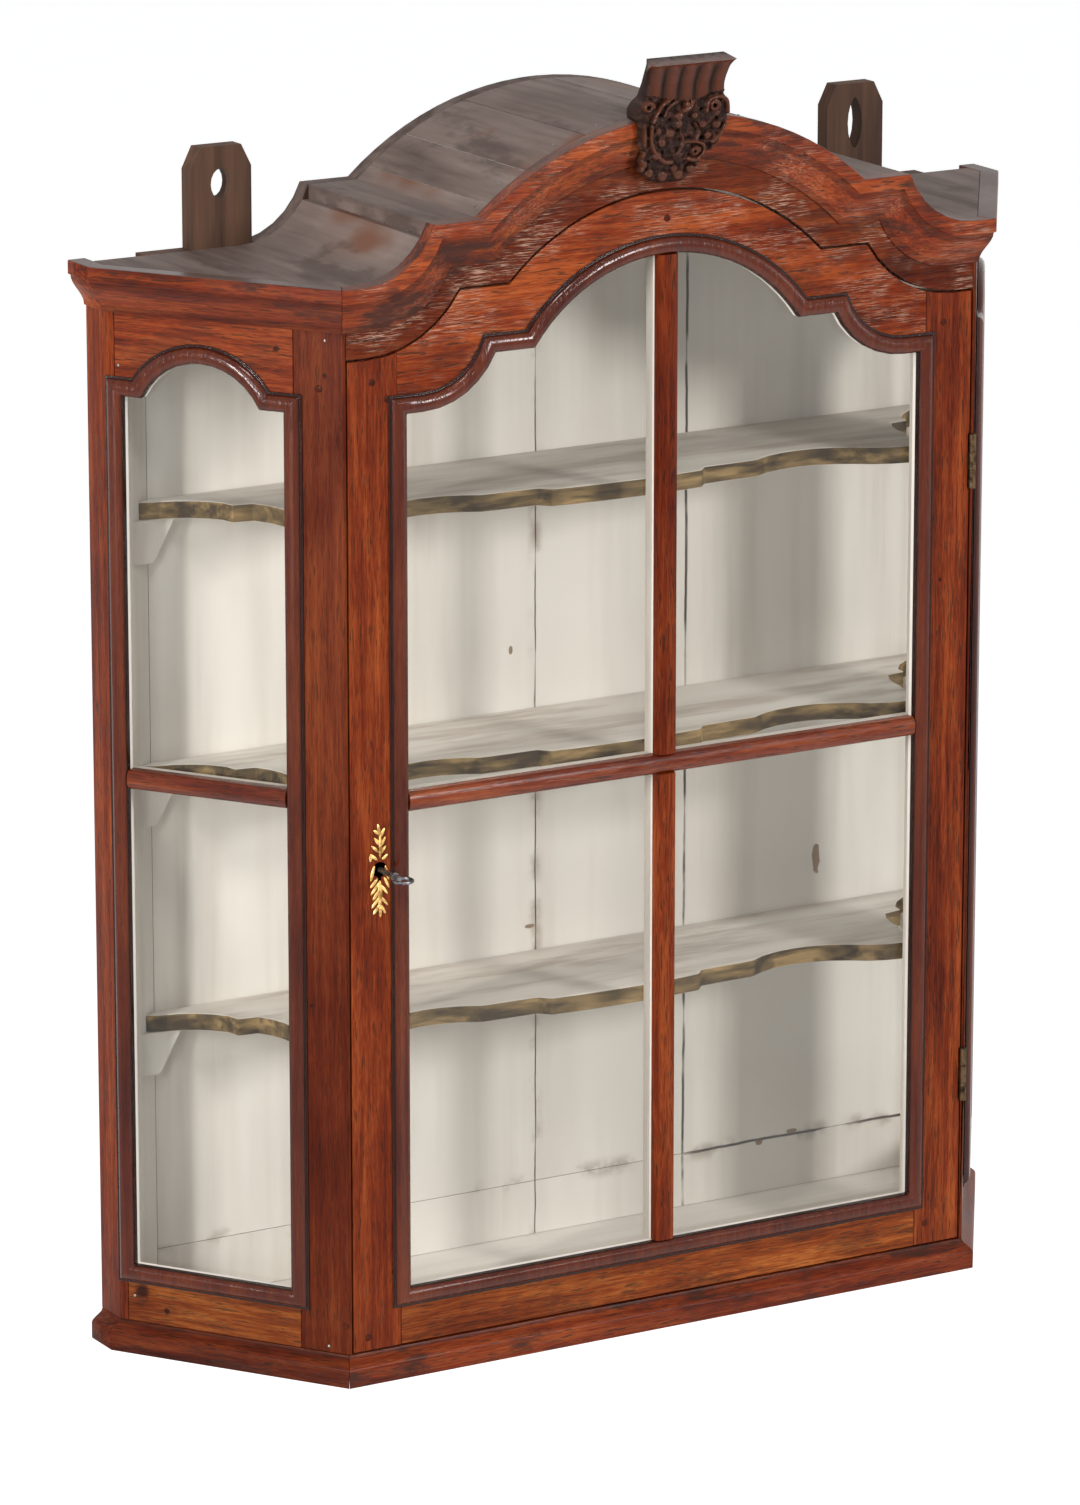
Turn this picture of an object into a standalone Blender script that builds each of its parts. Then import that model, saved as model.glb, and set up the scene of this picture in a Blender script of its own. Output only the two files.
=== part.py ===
"""A hanging display cabinet in oak, with canted glazed sides and a stepped, arched door.

Every length is in metres. The wall is the plane y = 0, the front faces -Y and +Z is up.
Heights in this file start at the underside of the base moulding. The whole model hangs
from an empty, so that the origin lies on the wall midway between the two hanging ears.
"""

import math

import bmesh
import bpy
from mathutils import Matrix, Vector

# Plan of the case, seen from above
BODY_HALF_WIDTH = 0.420      # middle to the outer face of a return
RETURN_DEPTH = 0.033         # the short side beside the wall
BODY_DEPTH = 0.210           # wall to the face of the door
CANT_RUN = 0.120             # how far a cant goes sideways

# Heights
CASE_TOP = 0.915             # top of the cornice at its level ends
STEP_RISE = 0.0445           # level end to the step of the cornice
ARCH_RISE = 0.0685           # step to the top of the arch
ARCH_INSET = 0.121           # front corner to the foot of the arch

# Hollow sweep of each stepped curve: corner to its level end, and its radius
CORNICE_TOP_SWEEP = (0.012, 0.0685)
CORNICE_LOW_SWEEP = (0.030, 0.073)
DOOR_SWEEP = (0.022, 0.1005)
SIGHT_SWEEP = (0.072, 0.074)

# Clearances
FIT = 0.0003                 # between touching pieces
OVERCUT = 0.001              # how far a cutter runs past the face it opens
WELD = 0.000001              # points closer than this are one point
GLASS_FIT = 0.0005           # round the edges of a pane
DOOR_SIDE_GAP = 0.0015       # door edge to corner stile
DOOR_TOP_GAP = 0.002         # door to frieze
DOOR_BOTTOM_GAP = 0.0015     # door to base moulding
DOOR_STOP_GAP = 0.0013       # door to the strip that it shuts against

# Base
BASE_HEIGHT = 0.025
BASE_BAND = 0.013            # upright part of the moulding
BASE_PROJECTION = 0.010
BASE_FILLET = 0.001          # small step over the upright part
BASE_WIDTH = 0.015           # how far the moulding reaches in under the frame
FLOOR_THICKNESS = 0.020
STOP_WIDTH = 0.008           # strip on the floor behind the foot of the door
STOP_HEIGHT = 0.008
STOP_INSET = 0.012           # edge of the opening of the door to the end of the strip

# Frame of the canted sides
FRAME_THICKNESS = 0.022
CANT_STILE_WIDTH = 0.044     # front corner to the joint with the rails
CANT_POST_WIDTH = 0.008      # rear corner to the joint with the rails
CORNER_FACE_WIDTH = 0.003    # narrow strip of the corner stile beside the door
POST_WIDTH = 0.045           # rear post along the wall
CANT_BAR_HEIGHT = 0.491
CANT_ARCH_RADIUS = 0.060
CANT_PEAK_DROP = 0.0735      # level end of the cornice down to the top of the glass
CANT_SHOULDER_DROP = 0.106   # and down to the shoulders beside the little arch
CANT_ARCH_SHIFT = 0.002      # the little arch sits this far behind the middle

# Back
PLANK_THICKNESS = 0.015
BACK_RAIL_TOP = 0.073
PLANK_JOINTS = (-0.010, 0.138)
EAR_CENTRE = 0.304
EAR_WIDTH = 0.056
EAR_RISE = 0.083             # above the level end of the cornice
EAR_TOP_WIDTH = 0.038
EAR_CHAMFER = 0.018
HANG_DROP = 0.033            # top of an ear down to the origin
LEFT_HOLE = (0.018, 0.025)   # width and height
RIGHT_HOLE = (0.014, 0.044)
LEFT_HOLE_DROP = 0.031
RIGHT_HOLE_DROP = 0.034
OVAL = 1.0
POINTED_OVAL = 0.72          # the right hole is worn to a point at both ends

# Shelves
SHELF_TOPS = (0.280, 0.493, 0.714)
SHELF_THICKNESS = 0.015
SHELF_END_WIDTH = 0.013      # how far a shelf's end runs along the rear post
# Front edge of a shelf as arcs through three points. Those of the middle lobe are (from the
# middle, behind the door), the next (in from the front corner, behind the door) and the last
# (from the rear corner, behind the face of the cant).
SHELF_MIDDLE_ARC = ((0.0, 0.058), (0.036, 0.059), (0.072, 0.062))
SHELF_NOTCH = (0.080, 0.071)
SHELF_FRONT_ARCS = (((0.168, 0.073), (0.120, 0.087), (0.072, 0.073)),
                    ((0.072, 0.073), (0.045, 0.058), (0.026, 0.054)))
SHELF_TIP = (0.014, 0.070)
SHELF_CANT_ARCS = (((0.132, 0.060), (0.112, 0.069), (0.095, 0.071)),
                   ((0.072, 0.063), (0.045, 0.058), (0.020, 0.040)))
SHELF_CUSP = (0.083, 0.058)
BRACKET_WIDTH = 0.020
BRACKET_HEIGHT = 0.036
BRACKET_THICKNESS = 0.010

# Roof, cornice and frieze
ROOF_THICKNESS = 0.012
CORNICE_PROJECTION = 0.016
CORNICE_HEIGHT = 0.038
CORNICE_FASCIA = 0.0115
CORNICE_EASE = 0.0008        # worn top edge
CORNICE_STEP = 0.0022        # step in below the fascia
CORNICE_CANT = 0.0004        # fall of that step
CORNICE_FILLET = 0.0008      # flat strip below the hollow
CORNICE_FOOT = 0.002         # projection at the lower edge
FRIEZE_THICKNESS = 0.020
# Lower edge of the cornice to the top of the door: at the arch, the step and the ends
FRIEZE_HEIGHTS = (0.026, 0.020, 0.024)
ROOF_SEAM_INSET = 0.011      # foot of the arch to the first seam
ROOF_LAP = 0.002             # the end boards stop this far short of the step boards
ROOF_PLANKS = (0.039, 0.056, 0.078, 0.085, 0.078)    # relative widths, left to right

# Door
DOOR_THICKNESS = 0.024
DOOR_STILE_WIDTH = 0.0445
# Top of the door to the edge of the glass: at the arch, the step and the ends
DOOR_RAIL_HEIGHTS = (0.051, 0.0535, 0.0465)
BEAD_WIDTH = 0.016
BEAD_LAP = 0.008             # how far a bead overhangs the opening in its frame
BEAD_RISE = 0.0052
BEAD_CROWN = 0.014           # width of the rounded part
BEAD_SIGHT_EDGE = 0.001      # where the rounding starts, out of the frame's face
BEAD_FRAME_EDGE = 0.0016     # thin edge of the bead on the frame
SIGHT_BOTTOM = 0.075         # lower edge of the glass that shows
DOOR_BAR_HEIGHT = 0.487      # middle of the level bar
LEVEL_BAR_WIDTH = 0.016
UPRIGHT_BAR_WIDTH = 0.0185
BAR_CORE_WIDTH = 0.011
BAR_RISE = 0.0045
BAR_TONGUE = 0.0015          # depth of the tongue that joins a bar's front to its core
ROUND_BAR = 2                # exponent of the section: 2 is half round
FLAT_BAR = 5                 # and a higher one is flat with round edges

# Glass
GLASS_THICKNESS = 0.002
GLASS_SETBACK = 0.008        # face of the frame to the face of the glass

# Hinges
HINGE_HEIGHTS = (0.1735, 0.7085)
HINGE_LENGTH = 0.046
HINGE_FORWARD = 0.002        # pin in front of the face of the door
HINGE_ASIDE = 0.0002         # pin beyond the face of the stile's edge
BARREL_RADIUS = 0.003
BARREL_CLEARANCE = 0.0004
PIN_RADIUS = 0.0015
PIN_CLEARANCE = 0.0001
LEAF_THICKNESS = 0.0012
LEAF_PROUD = 0.0003          # how far a leaf stands out of its housing
LEAF_DEPTH = 0.018

# Lock and key
LOCK_HEIGHT = 0.434          # axis of the key
KEY_INSET = 0.0265           # door edge to the axis of the key
CASE_WIDTH = 0.039
CASE_BELOW = 0.012
CASE_ABOVE = 0.026
CASE_DEPTH = 0.0145          # the case is screwed on the back of the door
CASE_WALL = 0.0012
NOTCH_DEPTH = 0.0092         # edge of the case to the end of the notch for the bolt
NOTCH_HEIGHT = 0.0172
NOTCH_RISE = 0.0042          # key axis to the lower edge of the notch
NOTCH_SETBACK = 0.0035       # back of the door to the front of the notch
KEY_RADIUS = 0.0023
KEY_BIT = 0.009              # key axis to the tip of the bit
KEY_BIT_WIDTH = 0.0025
KEY_BIT_START = 0.0044       # back of the door to the bit
KEY_REACH = 0.0098           # back of the door to the tip of the key
STEM_CLEARANCE = 0.0006      # round the stem, and past the tip of the bit
SLOT_CLEARANCE = 0.0004      # beside the bit
COLLAR_RADIUS = 0.0035
COLLAR_LENGTH = 0.002
KEY_LENGTH = 0.048           # face of the door to the end of the bow
BOW_RADIUS = 0.0075
BOW_WIRE = 0.0015
PLATE_HEIGHT = 0.080
PLATE_THICKNESS = 0.0012
# Half widths of the leafy plate from its bottom to its top, at (share of the height, width)
PLATE_OUTLINE = ((0.0, 0.0016), (0.06, 0.0055), (0.13, 0.0070), (0.20, 0.0048), (0.26, 0.0078),
                 (0.33, 0.0086), (0.42, 0.0088), (0.55, 0.0092), (0.62, 0.0088), (0.69, 0.0060),
                 (0.77, 0.0068), (0.85, 0.0048), (0.92, 0.0062), (1.0, 0.0030))

# Carved crest
# Its outline from the bottom up, at (above the arch, left, right, out of the door's face, and
# how far its back lies out of that face)
CREST_ROWS = (
    (-0.0530, -0.0160, 0.0110, 0.0110, -0.002),
    (-0.0490, -0.0270, 0.0160, 0.0125, -0.002),
    (-0.0420, -0.0360, 0.0225, 0.0150, -0.002),
    (-0.0320, -0.0370, 0.0300, 0.0185, -0.002),
    (-0.0230, -0.0385, 0.0385, 0.0220, -0.002),
    (-0.0045, -0.0410, 0.0420, 0.0270, -0.002),
    (0.0065, -0.0428, 0.0430, 0.0290, -0.001),
    (0.0125, -0.0412, 0.0412, 0.0300, 0.003),
    (0.0190, -0.0374, 0.0368, 0.0310, 0.009),
    (0.0290, -0.0380, 0.0364, 0.0330, 0.015),
    (0.0390, -0.0388, 0.0376, 0.0370, 0.021),
    (0.0460, -0.0402, 0.0400, 0.0410, 0.026),
)
CREST_BACK_WIDTH = 0.82      # width of the back, as a share of the front's
CREST_LIFT = 0.004           # the dusty top rises this much towards the back
CREST_WAIST = 0.012          # flutes above it, scrolls below
CREST_SWELL = 0.003
CREST_FLUTES = 5
FLUTE_DEPTH = 0.0022
SCRIBE_GAP = 0.0004
# Raised eyes of the scrolls: radius, across, above the arch, out of the door's face
CREST_SCROLLS = ((0.0068, -0.0350, 0.0090, 0.0325), (0.0085, 0.0020, 0.0125, 0.0345),
                 (0.0090, 0.0310, 0.0090, 0.0330), (0.0085, 0.0125, -0.0260, 0.0265),
                 (0.0070, -0.0260, -0.0350, 0.0205))

# Facets
SWEEP_STEPS = 6
ARCH_STEPS = 24
ROUND_STEPS = 16

# Worked out from the sizes above
FRONT_HALF_WIDTH = BODY_HALF_WIDTH - CANT_RUN
ARCH_FOOT = FRONT_HALF_WIDTH - ARCH_INSET
ARCH_RADIUS = (ARCH_FOOT ** 2 + ARCH_RISE ** 2) / (2 * ARCH_RISE)
ARCH_TOP = CASE_TOP + STEP_RISE + ARCH_RISE
ARCH_CENTRE = ARCH_TOP - ARCH_RADIUS
CANT_FALL = BODY_DEPTH - RETURN_DEPTH
CANT_LENGTH = math.hypot(CANT_RUN, CANT_FALL)
CANT_X = CANT_RUN / CANT_LENGTH
CANT_Y = CANT_FALL / CANT_LENGTH
FRAME_TOP = CASE_TOP - ROOF_THICKNESS - FIT
EAR_TOP = CASE_TOP + EAR_RISE
HANG_HEIGHT = EAR_TOP - HANG_DROP
STILE_FACE = FRONT_HALF_WIDTH - CORNER_FACE_WIDTH
DOOR_EDGE = STILE_FACE - DOOR_SIDE_GAP
DOOR_OPENING = DOOR_EDGE - DOOR_STILE_WIDTH
DOOR_BOTTOM = BASE_HEIGHT + DOOR_BOTTOM_GAP
DOOR_BACK = BODY_DEPTH - DOOR_THICKNESS
HINGE_X = STILE_FACE + HINGE_ASIDE
HINGE_Y = -BODY_DEPTH - HINGE_FORWARD
KEY_X = -DOOR_EDGE + KEY_INSET


class SteppedArch:
    """Level end, concave sweep, level step and central arch, alike on both sides."""

    def __init__(self, end, sweep_inset, sweep_radius, step, arch_radius):
        self.end = end
        self.sweep_inset = sweep_inset
        self.sweep_radius = sweep_radius
        self.step = step
        self.arch_radius = arch_radius
        self.sweep_x = FRONT_HALF_WIDTH - sweep_inset
        drop = end + sweep_radius - step
        self.step_end = self.sweep_x - math.sqrt(sweep_radius ** 2 - drop ** 2)
        self.arch_foot = math.sqrt(arch_radius ** 2 - (step - ARCH_CENTRE) ** 2)

    def moved(self, out):
        """The parallel curve that lies `out` further from the glass."""
        return SteppedArch(self.end + out, self.sweep_inset, self.sweep_radius - out,
                           self.step + out, self.arch_radius + out)

    def height(self, x):
        """Height of the curve at a distance x from the middle."""
        x = abs(x)
        if x >= self.sweep_x:
            return self.end
        if x >= self.step_end:
            return self.end + self.sweep_radius - math.sqrt(
                self.sweep_radius ** 2 - (self.sweep_x - x) ** 2)
        if x >= self.arch_foot:
            return self.step
        return ARCH_CENTRE + math.sqrt(self.arch_radius ** 2 - x * x)

    def points(self, reach):
        """The whole curve from x = -reach to x = reach, always with as many points."""
        half = [(reach, self.end)]
        end_angle = math.asin((self.sweep_x - self.step_end) / self.sweep_radius)
        for step in range(SWEEP_STEPS + 1):
            angle = end_angle * step / SWEEP_STEPS
            half.append((self.sweep_x - self.sweep_radius * math.sin(angle),
                         self.end + self.sweep_radius * (1 - math.cos(angle))))
        foot_angle = math.atan2(self.arch_foot, self.step - ARCH_CENTRE)
        for step in range(ARCH_STEPS // 2):
            angle = foot_angle * (1 - 2 * step / ARCH_STEPS)
            half.append((self.arch_radius * math.sin(angle),
                         ARCH_CENTRE + self.arch_radius * math.cos(angle)))
        top = [(0.0, ARCH_CENTRE + self.arch_radius)]
        return [(-x, z) for x, z in half] + top + half[::-1]

    def between(self, low, high):
        """The stretch of the curve from x = low to x = high."""
        inner = [(x, z) for x, z in self.points(BODY_HALF_WIDTH) if low + FIT < x < high - FIT]
        return [(low, self.height(low))] + inner + [(high, self.height(high))]


CORNICE_TOP = SteppedArch(CASE_TOP, *CORNICE_TOP_SWEEP, CASE_TOP + STEP_RISE, ARCH_RADIUS)
CORNICE_LOW = SteppedArch(CASE_TOP - CORNICE_HEIGHT, *CORNICE_LOW_SWEEP,
                          CORNICE_TOP.step - CORNICE_HEIGHT, ARCH_RADIUS - CORNICE_HEIGHT)
DOOR_TOP = SteppedArch(CORNICE_LOW.end - FRIEZE_HEIGHTS[2], *DOOR_SWEEP,
                       CORNICE_LOW.step - FRIEZE_HEIGHTS[1],
                       CORNICE_LOW.arch_radius - FRIEZE_HEIGHTS[0])
SIGHT_TOP = SteppedArch(DOOR_TOP.end - DOOR_RAIL_HEIGHTS[2], *SIGHT_SWEEP,
                        DOOR_TOP.step - DOOR_RAIL_HEIGHTS[1],
                        DOOR_TOP.arch_radius - DOOR_RAIL_HEIGHTS[0])
ROOF_UNDER = CORNICE_TOP.moved(-ROOF_THICKNESS)


def plan_corners(out):
    """Outline of the right half at `out` from the faces: at the wall, rear and front corner."""
    rear_run = out * (CANT_Y - 1) / CANT_X
    front_run = CANT_LENGTH + out * (1 - CANT_X) / CANT_Y
    return [
        (BODY_HALF_WIDTH + out, 0.0),
        (BODY_HALF_WIDTH + out, -RETURN_DEPTH - rear_run * CANT_Y - out * CANT_X),
        (BODY_HALF_WIDTH - front_run * CANT_X + out * CANT_Y, -BODY_DEPTH - out),
    ]


def cant_point(side, along, out, height=0.0):
    """A point on a canted side: `along` from its rear corner and `out` of its face."""
    x = BODY_HALF_WIDTH - along * CANT_X + out * CANT_Y
    y = -RETURN_DEPTH - along * CANT_Y - out * CANT_X
    return (side * x, y, height)


def arc(first, middle, last, steps):
    """Points on the circle through three points, without the last one."""
    ax, ay = first
    bx, by = middle
    cx, cy = last
    double = 2 * (ax * (by - cy) + bx * (cy - ay) + cx * (ay - by))
    a, b, c = ax * ax + ay * ay, bx * bx + by * by, cx * cx + cy * cy
    ux = (a * (by - cy) + b * (cy - ay) + c * (ay - by)) / double
    uy = (a * (cx - bx) + b * (ax - cx) + c * (bx - ax)) / double
    start = math.atan2(ay - uy, ax - ux)
    turn = math.remainder(math.atan2(cy - uy, cx - ux) - start, math.tau)
    radius = math.hypot(ax - ux, ay - uy)
    angles = [start + turn * step / steps for step in range(steps)]
    return [(ux + radius * math.cos(angle), uy + radius * math.sin(angle)) for angle in angles]


# Solids


def extrude(face_points, along):
    """A flat outline of 3-D points, extruded by the vector `along`."""
    bm = bmesh.new()
    face = bm.faces.new([bm.verts.new(point) for point in face_points])
    grown = bmesh.ops.extrude_face_region(bm, geom=[face])["geom"]
    moved = [item for item in grown if isinstance(item, bmesh.types.BMVert)]
    bmesh.ops.translate(bm, verts=moved, vec=along)
    return bm


def loft(rings, closed=False):
    """A section extruded from ring to ring; a closed one ends where it starts."""
    bm = bmesh.new()
    first = bm.faces.new([bm.verts.new(point) for point in rings[0]])
    cap = first
    for ring in rings[1:] + (rings[:1] if closed else []):
        grown = bmesh.ops.extrude_face_region(bm, geom=[cap])["geom"]
        if cap is not first:
            bmesh.ops.delete(bm, geom=[cap], context="FACES_ONLY")
        cap = next(item for item in grown if isinstance(item, bmesh.types.BMFace))
        for vert, point in zip(cap.verts, ring):
            vert.co = point
    if closed:
        bmesh.ops.delete(bm, geom=[first, cap], context="FACES_ONLY")
        bmesh.ops.remove_doubles(bm, verts=bm.verts, dist=WELD)
    return bm


def block(low, high):
    """A rectangular solid between two corners."""
    (x0, y0, z0), (x1, y1, z1) = low, high
    return extrude([(x0, y0, z0), (x1, y0, z0), (x1, y1, z0), (x0, y1, z0)], (0, 0, z1 - z0))


def upright(outline, low, high):
    """A plan outline raised from one height to another."""
    return extrude([(x, y, low) for x, y in outline], (0, 0, high - low))


def front_board(outline, front, back):
    """An outline in x and z, cut from a board that lies between two depths."""
    return extrude([(x, -front, z) for x, z in outline], (0, front - back, 0))


def cant_board(side, outline, front, back):
    """An outline in `along` and z, cut from a board that lies between two depths of a cant."""
    points = [cant_point(side, along, front, z) for along, z in outline]
    inwards = Vector(cant_point(side, 0, back)) - Vector(cant_point(side, 0, front))
    return extrude(points, inwards)


def rod(radius, start, end):
    """A round bar between two points."""
    start, end = Vector(start), Vector(end)
    bm = bmesh.new()
    turn = (end - start).to_track_quat("Z", "Y").to_matrix().to_4x4()
    place = Matrix.Translation((start + end) / 2) @ turn
    bmesh.ops.create_cone(bm, cap_ends=True, segments=ROUND_STEPS, radius1=radius, radius2=radius,
                          depth=(end - start).length, matrix=place)
    return bm


def oval(width, height, x, z, point):
    """An oval in x and z; a `point` below 1 draws its top and bottom to a tip."""
    outline = []
    for step in range(ROUND_STEPS):
        angle = math.tau * step / ROUND_STEPS
        across = math.copysign(abs(math.cos(angle)) ** (1 / point), math.cos(angle))
        outline.append((x + width / 2 * across, z + height / 2 * math.sin(angle)))
    return outline


# Objects


def clear_scene():
    for old in list(bpy.data.objects):
        bpy.data.objects.remove(old, do_unlink=True)


def finish(name, colour, roughness, metallic=0.0, alpha=1.0):
    """A plain surface in the colour of the real one."""
    material = bpy.data.materials.new(name)
    material.use_nodes = True
    shader = material.node_tree.nodes["Principled BSDF"]
    shader.inputs["Base Color"].default_value = (*colour, 1.0)
    shader.inputs["Roughness"].default_value = roughness
    shader.inputs["Metallic"].default_value = metallic
    shader.inputs["Alpha"].default_value = alpha
    return material


def standing(carrier):
    """Where a carrier stands, measured from the outermost one."""
    place = Vector()
    while carrier.parent:
        place += carrier.location
        carrier = carrier.parent
    return place


def pivot(name, place, parent=None):
    """An empty that carries the pieces that move together."""
    empty = bpy.data.objects.new(name, None)
    empty.location = Vector(place) - (standing(parent) if parent else Vector())
    empty.parent = parent
    bpy.context.scene.collection.objects.link(empty)
    return empty


def add(name, bm, material, carrier):
    """An object for one piece, with its origin at its carrier's."""
    bmesh.ops.recalc_face_normals(bm, faces=bm.faces)
    bmesh.ops.translate(bm, verts=bm.verts, vec=-standing(carrier))
    mesh = bpy.data.meshes.new(name)
    bm.to_mesh(mesh)
    bm.free()
    mesh.materials.append(material)
    mesh.shade_smooth()
    mesh.set_sharp_from_angle(angle=math.radians(35))
    piece = bpy.data.objects.new(name, mesh)
    piece.parent = carrier
    bpy.context.scene.collection.objects.link(piece)
    return piece


def shape(piece, bm, operation="DIFFERENCE"):
    """Cut another solid from a piece, or fuse it on with the operation UNION."""
    tool = add(f"{piece.name}_tool", bm, piece.data.materials[0], piece.parent)
    tool.hide_render = True
    tool.display_type = "WIRE"
    modifier = piece.modifiers.new(operation.title(), "BOOLEAN")
    modifier.operation = operation
    modifier.solver = "EXACT"
    modifier.object = tool


# Base and floor


def base_profile():
    """Section of the base moulding as (out, height)."""
    ease = BASE_HEIGHT - BASE_BAND - 1.5 * BASE_FILLET
    steps = 5
    curve = []
    for step in range(steps + 1):
        share = step / steps
        out = BASE_PROJECTION * (0.5 + 0.5 * math.cos(math.pi * share))
        curve.append((out, BASE_BAND + BASE_FILLET + ease * share))
    return ([(-BASE_WIDTH, 0), (BASE_PROJECTION, 0), (BASE_PROJECTION, BASE_BAND)]
            + curve + [(0, BASE_HEIGHT), (-BASE_WIDTH, BASE_HEIGHT)])


def side_moulding(side, profile):
    """A moulding round the cant and the return of one side, mitred at the rear corner."""
    rings = []
    for corner in range(3):
        ring = []
        for out, height in profile:
            x, y = plan_corners(out)[corner]
            if corner == 2:
                x, y = x + CANT_X * FIT, y + CANT_Y * FIT
            ring.append((side * x, y, height))
        rings.append(ring)
    return loft(rings)


def make_base(oak, painted, case):
    profile = base_profile()
    rings = []
    for side in (-1, 1):
        rings.append([(side * plan_corners(out)[2][0], plan_corners(out)[2][1], height)
                      for out, height in profile])
    add("base_front", loft(rings), oak, case)
    for side, name in ((-1, "left"), (1, "right")):
        add(f"base_{name}", side_moulding(side, profile), oak, case)
    right = plan_corners(-BASE_WIDTH - FIT)
    outline = right + [(-x, y) for x, y in right[::-1]]
    floor = add("floor_board", upright(outline, BASE_HEIGHT - FLOOR_THICKNESS, BASE_HEIGHT),
                painted, case)
    reach = DOOR_OPENING - STOP_INSET
    near = -DOOR_BACK + DOOR_STOP_GAP
    shape(floor, block((-reach, near, BASE_HEIGHT - FLOOR_THICKNESS / 2),
                       (reach, near + STOP_WIDTH, BASE_HEIGHT + STOP_HEIGHT)), "UNION")


# Canted sides


def cant_sight(out):
    """Edge of the glass that shows in a cant, moved outwards: a closed list of (along, z)."""
    rear = CANT_POST_WIDTH + BEAD_LAP - out
    front = CANT_LENGTH - CANT_STILE_WIDTH - BEAD_LAP + out
    shoulder = CASE_TOP - CANT_SHOULDER_DROP + out
    radius = CANT_ARCH_RADIUS + out
    centre_z = CASE_TOP - CANT_PEAK_DROP - CANT_ARCH_RADIUS
    centre = (CANT_POST_WIDTH + CANT_LENGTH - CANT_STILE_WIDTH) / 2 - CANT_ARCH_SHIFT
    foot = math.acos((shoulder - centre_z) / radius)
    steps = 12
    crown = []
    for step in range(steps + 1):
        angle = -foot + 2 * foot * step / steps
        crown.append((centre + radius * math.sin(angle), centre_z + radius * math.cos(angle)))
    return ([(rear, SIGHT_BOTTOM - out), (rear, shoulder)] + crown
            + [(front, shoulder), (front, SIGHT_BOTTOM - out)])


def bead_profile():
    """Section of a glazing bead as (from the sight edge, out of the face)."""
    lip = -(GLASS_SETBACK - FIT)
    lap = BEAD_LAP - FIT
    steps = 6
    section = [(0.0, lip)]
    for step in range(steps + 1):
        angle = math.pi * step / steps
        section.append((BEAD_CROWN / 2 * (1 - math.cos(angle)),
                        BEAD_SIGHT_EDGE + BEAD_RISE * math.sin(angle)))
    return section + [(BEAD_WIDTH, BEAD_FRAME_EDGE), (BEAD_WIDTH, FIT), (lap, FIT), (lap, lip)]


def bar_crown(width, flatness):
    """Front of a glazing bar as (across, out of the face), with a tongue for its core."""
    steps = 6
    back = FIT - GLASS_SETBACK
    tongue = BAR_CORE_WIDTH / 2 - FIT
    crown = []
    for step in range(steps + 1):
        across = -math.cos(math.pi * step / steps)
        rise = (1 - abs(across) ** flatness) ** 0.5
        crown.append((across * width / 2, BAR_RISE * rise))
    return ([(-tongue, back), (-width / 2, back)] + crown + [(width / 2, back), (tongue, back),
            (tongue, back - BAR_TONGUE), (-tongue, back - BAR_TONGUE)])


def post_outline(side):
    inner = BODY_HALF_WIDTH - POST_WIDTH
    points = [(side * BODY_HALF_WIDTH, 0.0), (side * BODY_HALF_WIDTH, -RETURN_DEPTH)]
    points.append(cant_point(side, CANT_POST_WIDTH, 0)[:2])
    points.append(cant_point(side, CANT_POST_WIDTH, -FRAME_THICKNESS)[:2])
    points.append((side * inner, -PLANK_THICKNESS))
    points.append((side * inner, 0.0))
    return points


def stile_outline(side):
    """Corner stile, bevelled to lie beside the edge of the door."""
    joint = CANT_LENGTH - CANT_STILE_WIDTH
    inner_x, inner_y, _ = cant_point(1, joint, -FRAME_THICKNESS)
    bevel_end = inner_y - (inner_x - STILE_FACE) * CANT_Y / CANT_X
    return [
        (side * FRONT_HALF_WIDTH, -BODY_DEPTH),
        (side * STILE_FACE, -BODY_DEPTH),
        (side * STILE_FACE, bevel_end),
        (side * inner_x, inner_y),
        cant_point(side, joint, 0)[:2],
    ]


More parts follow.
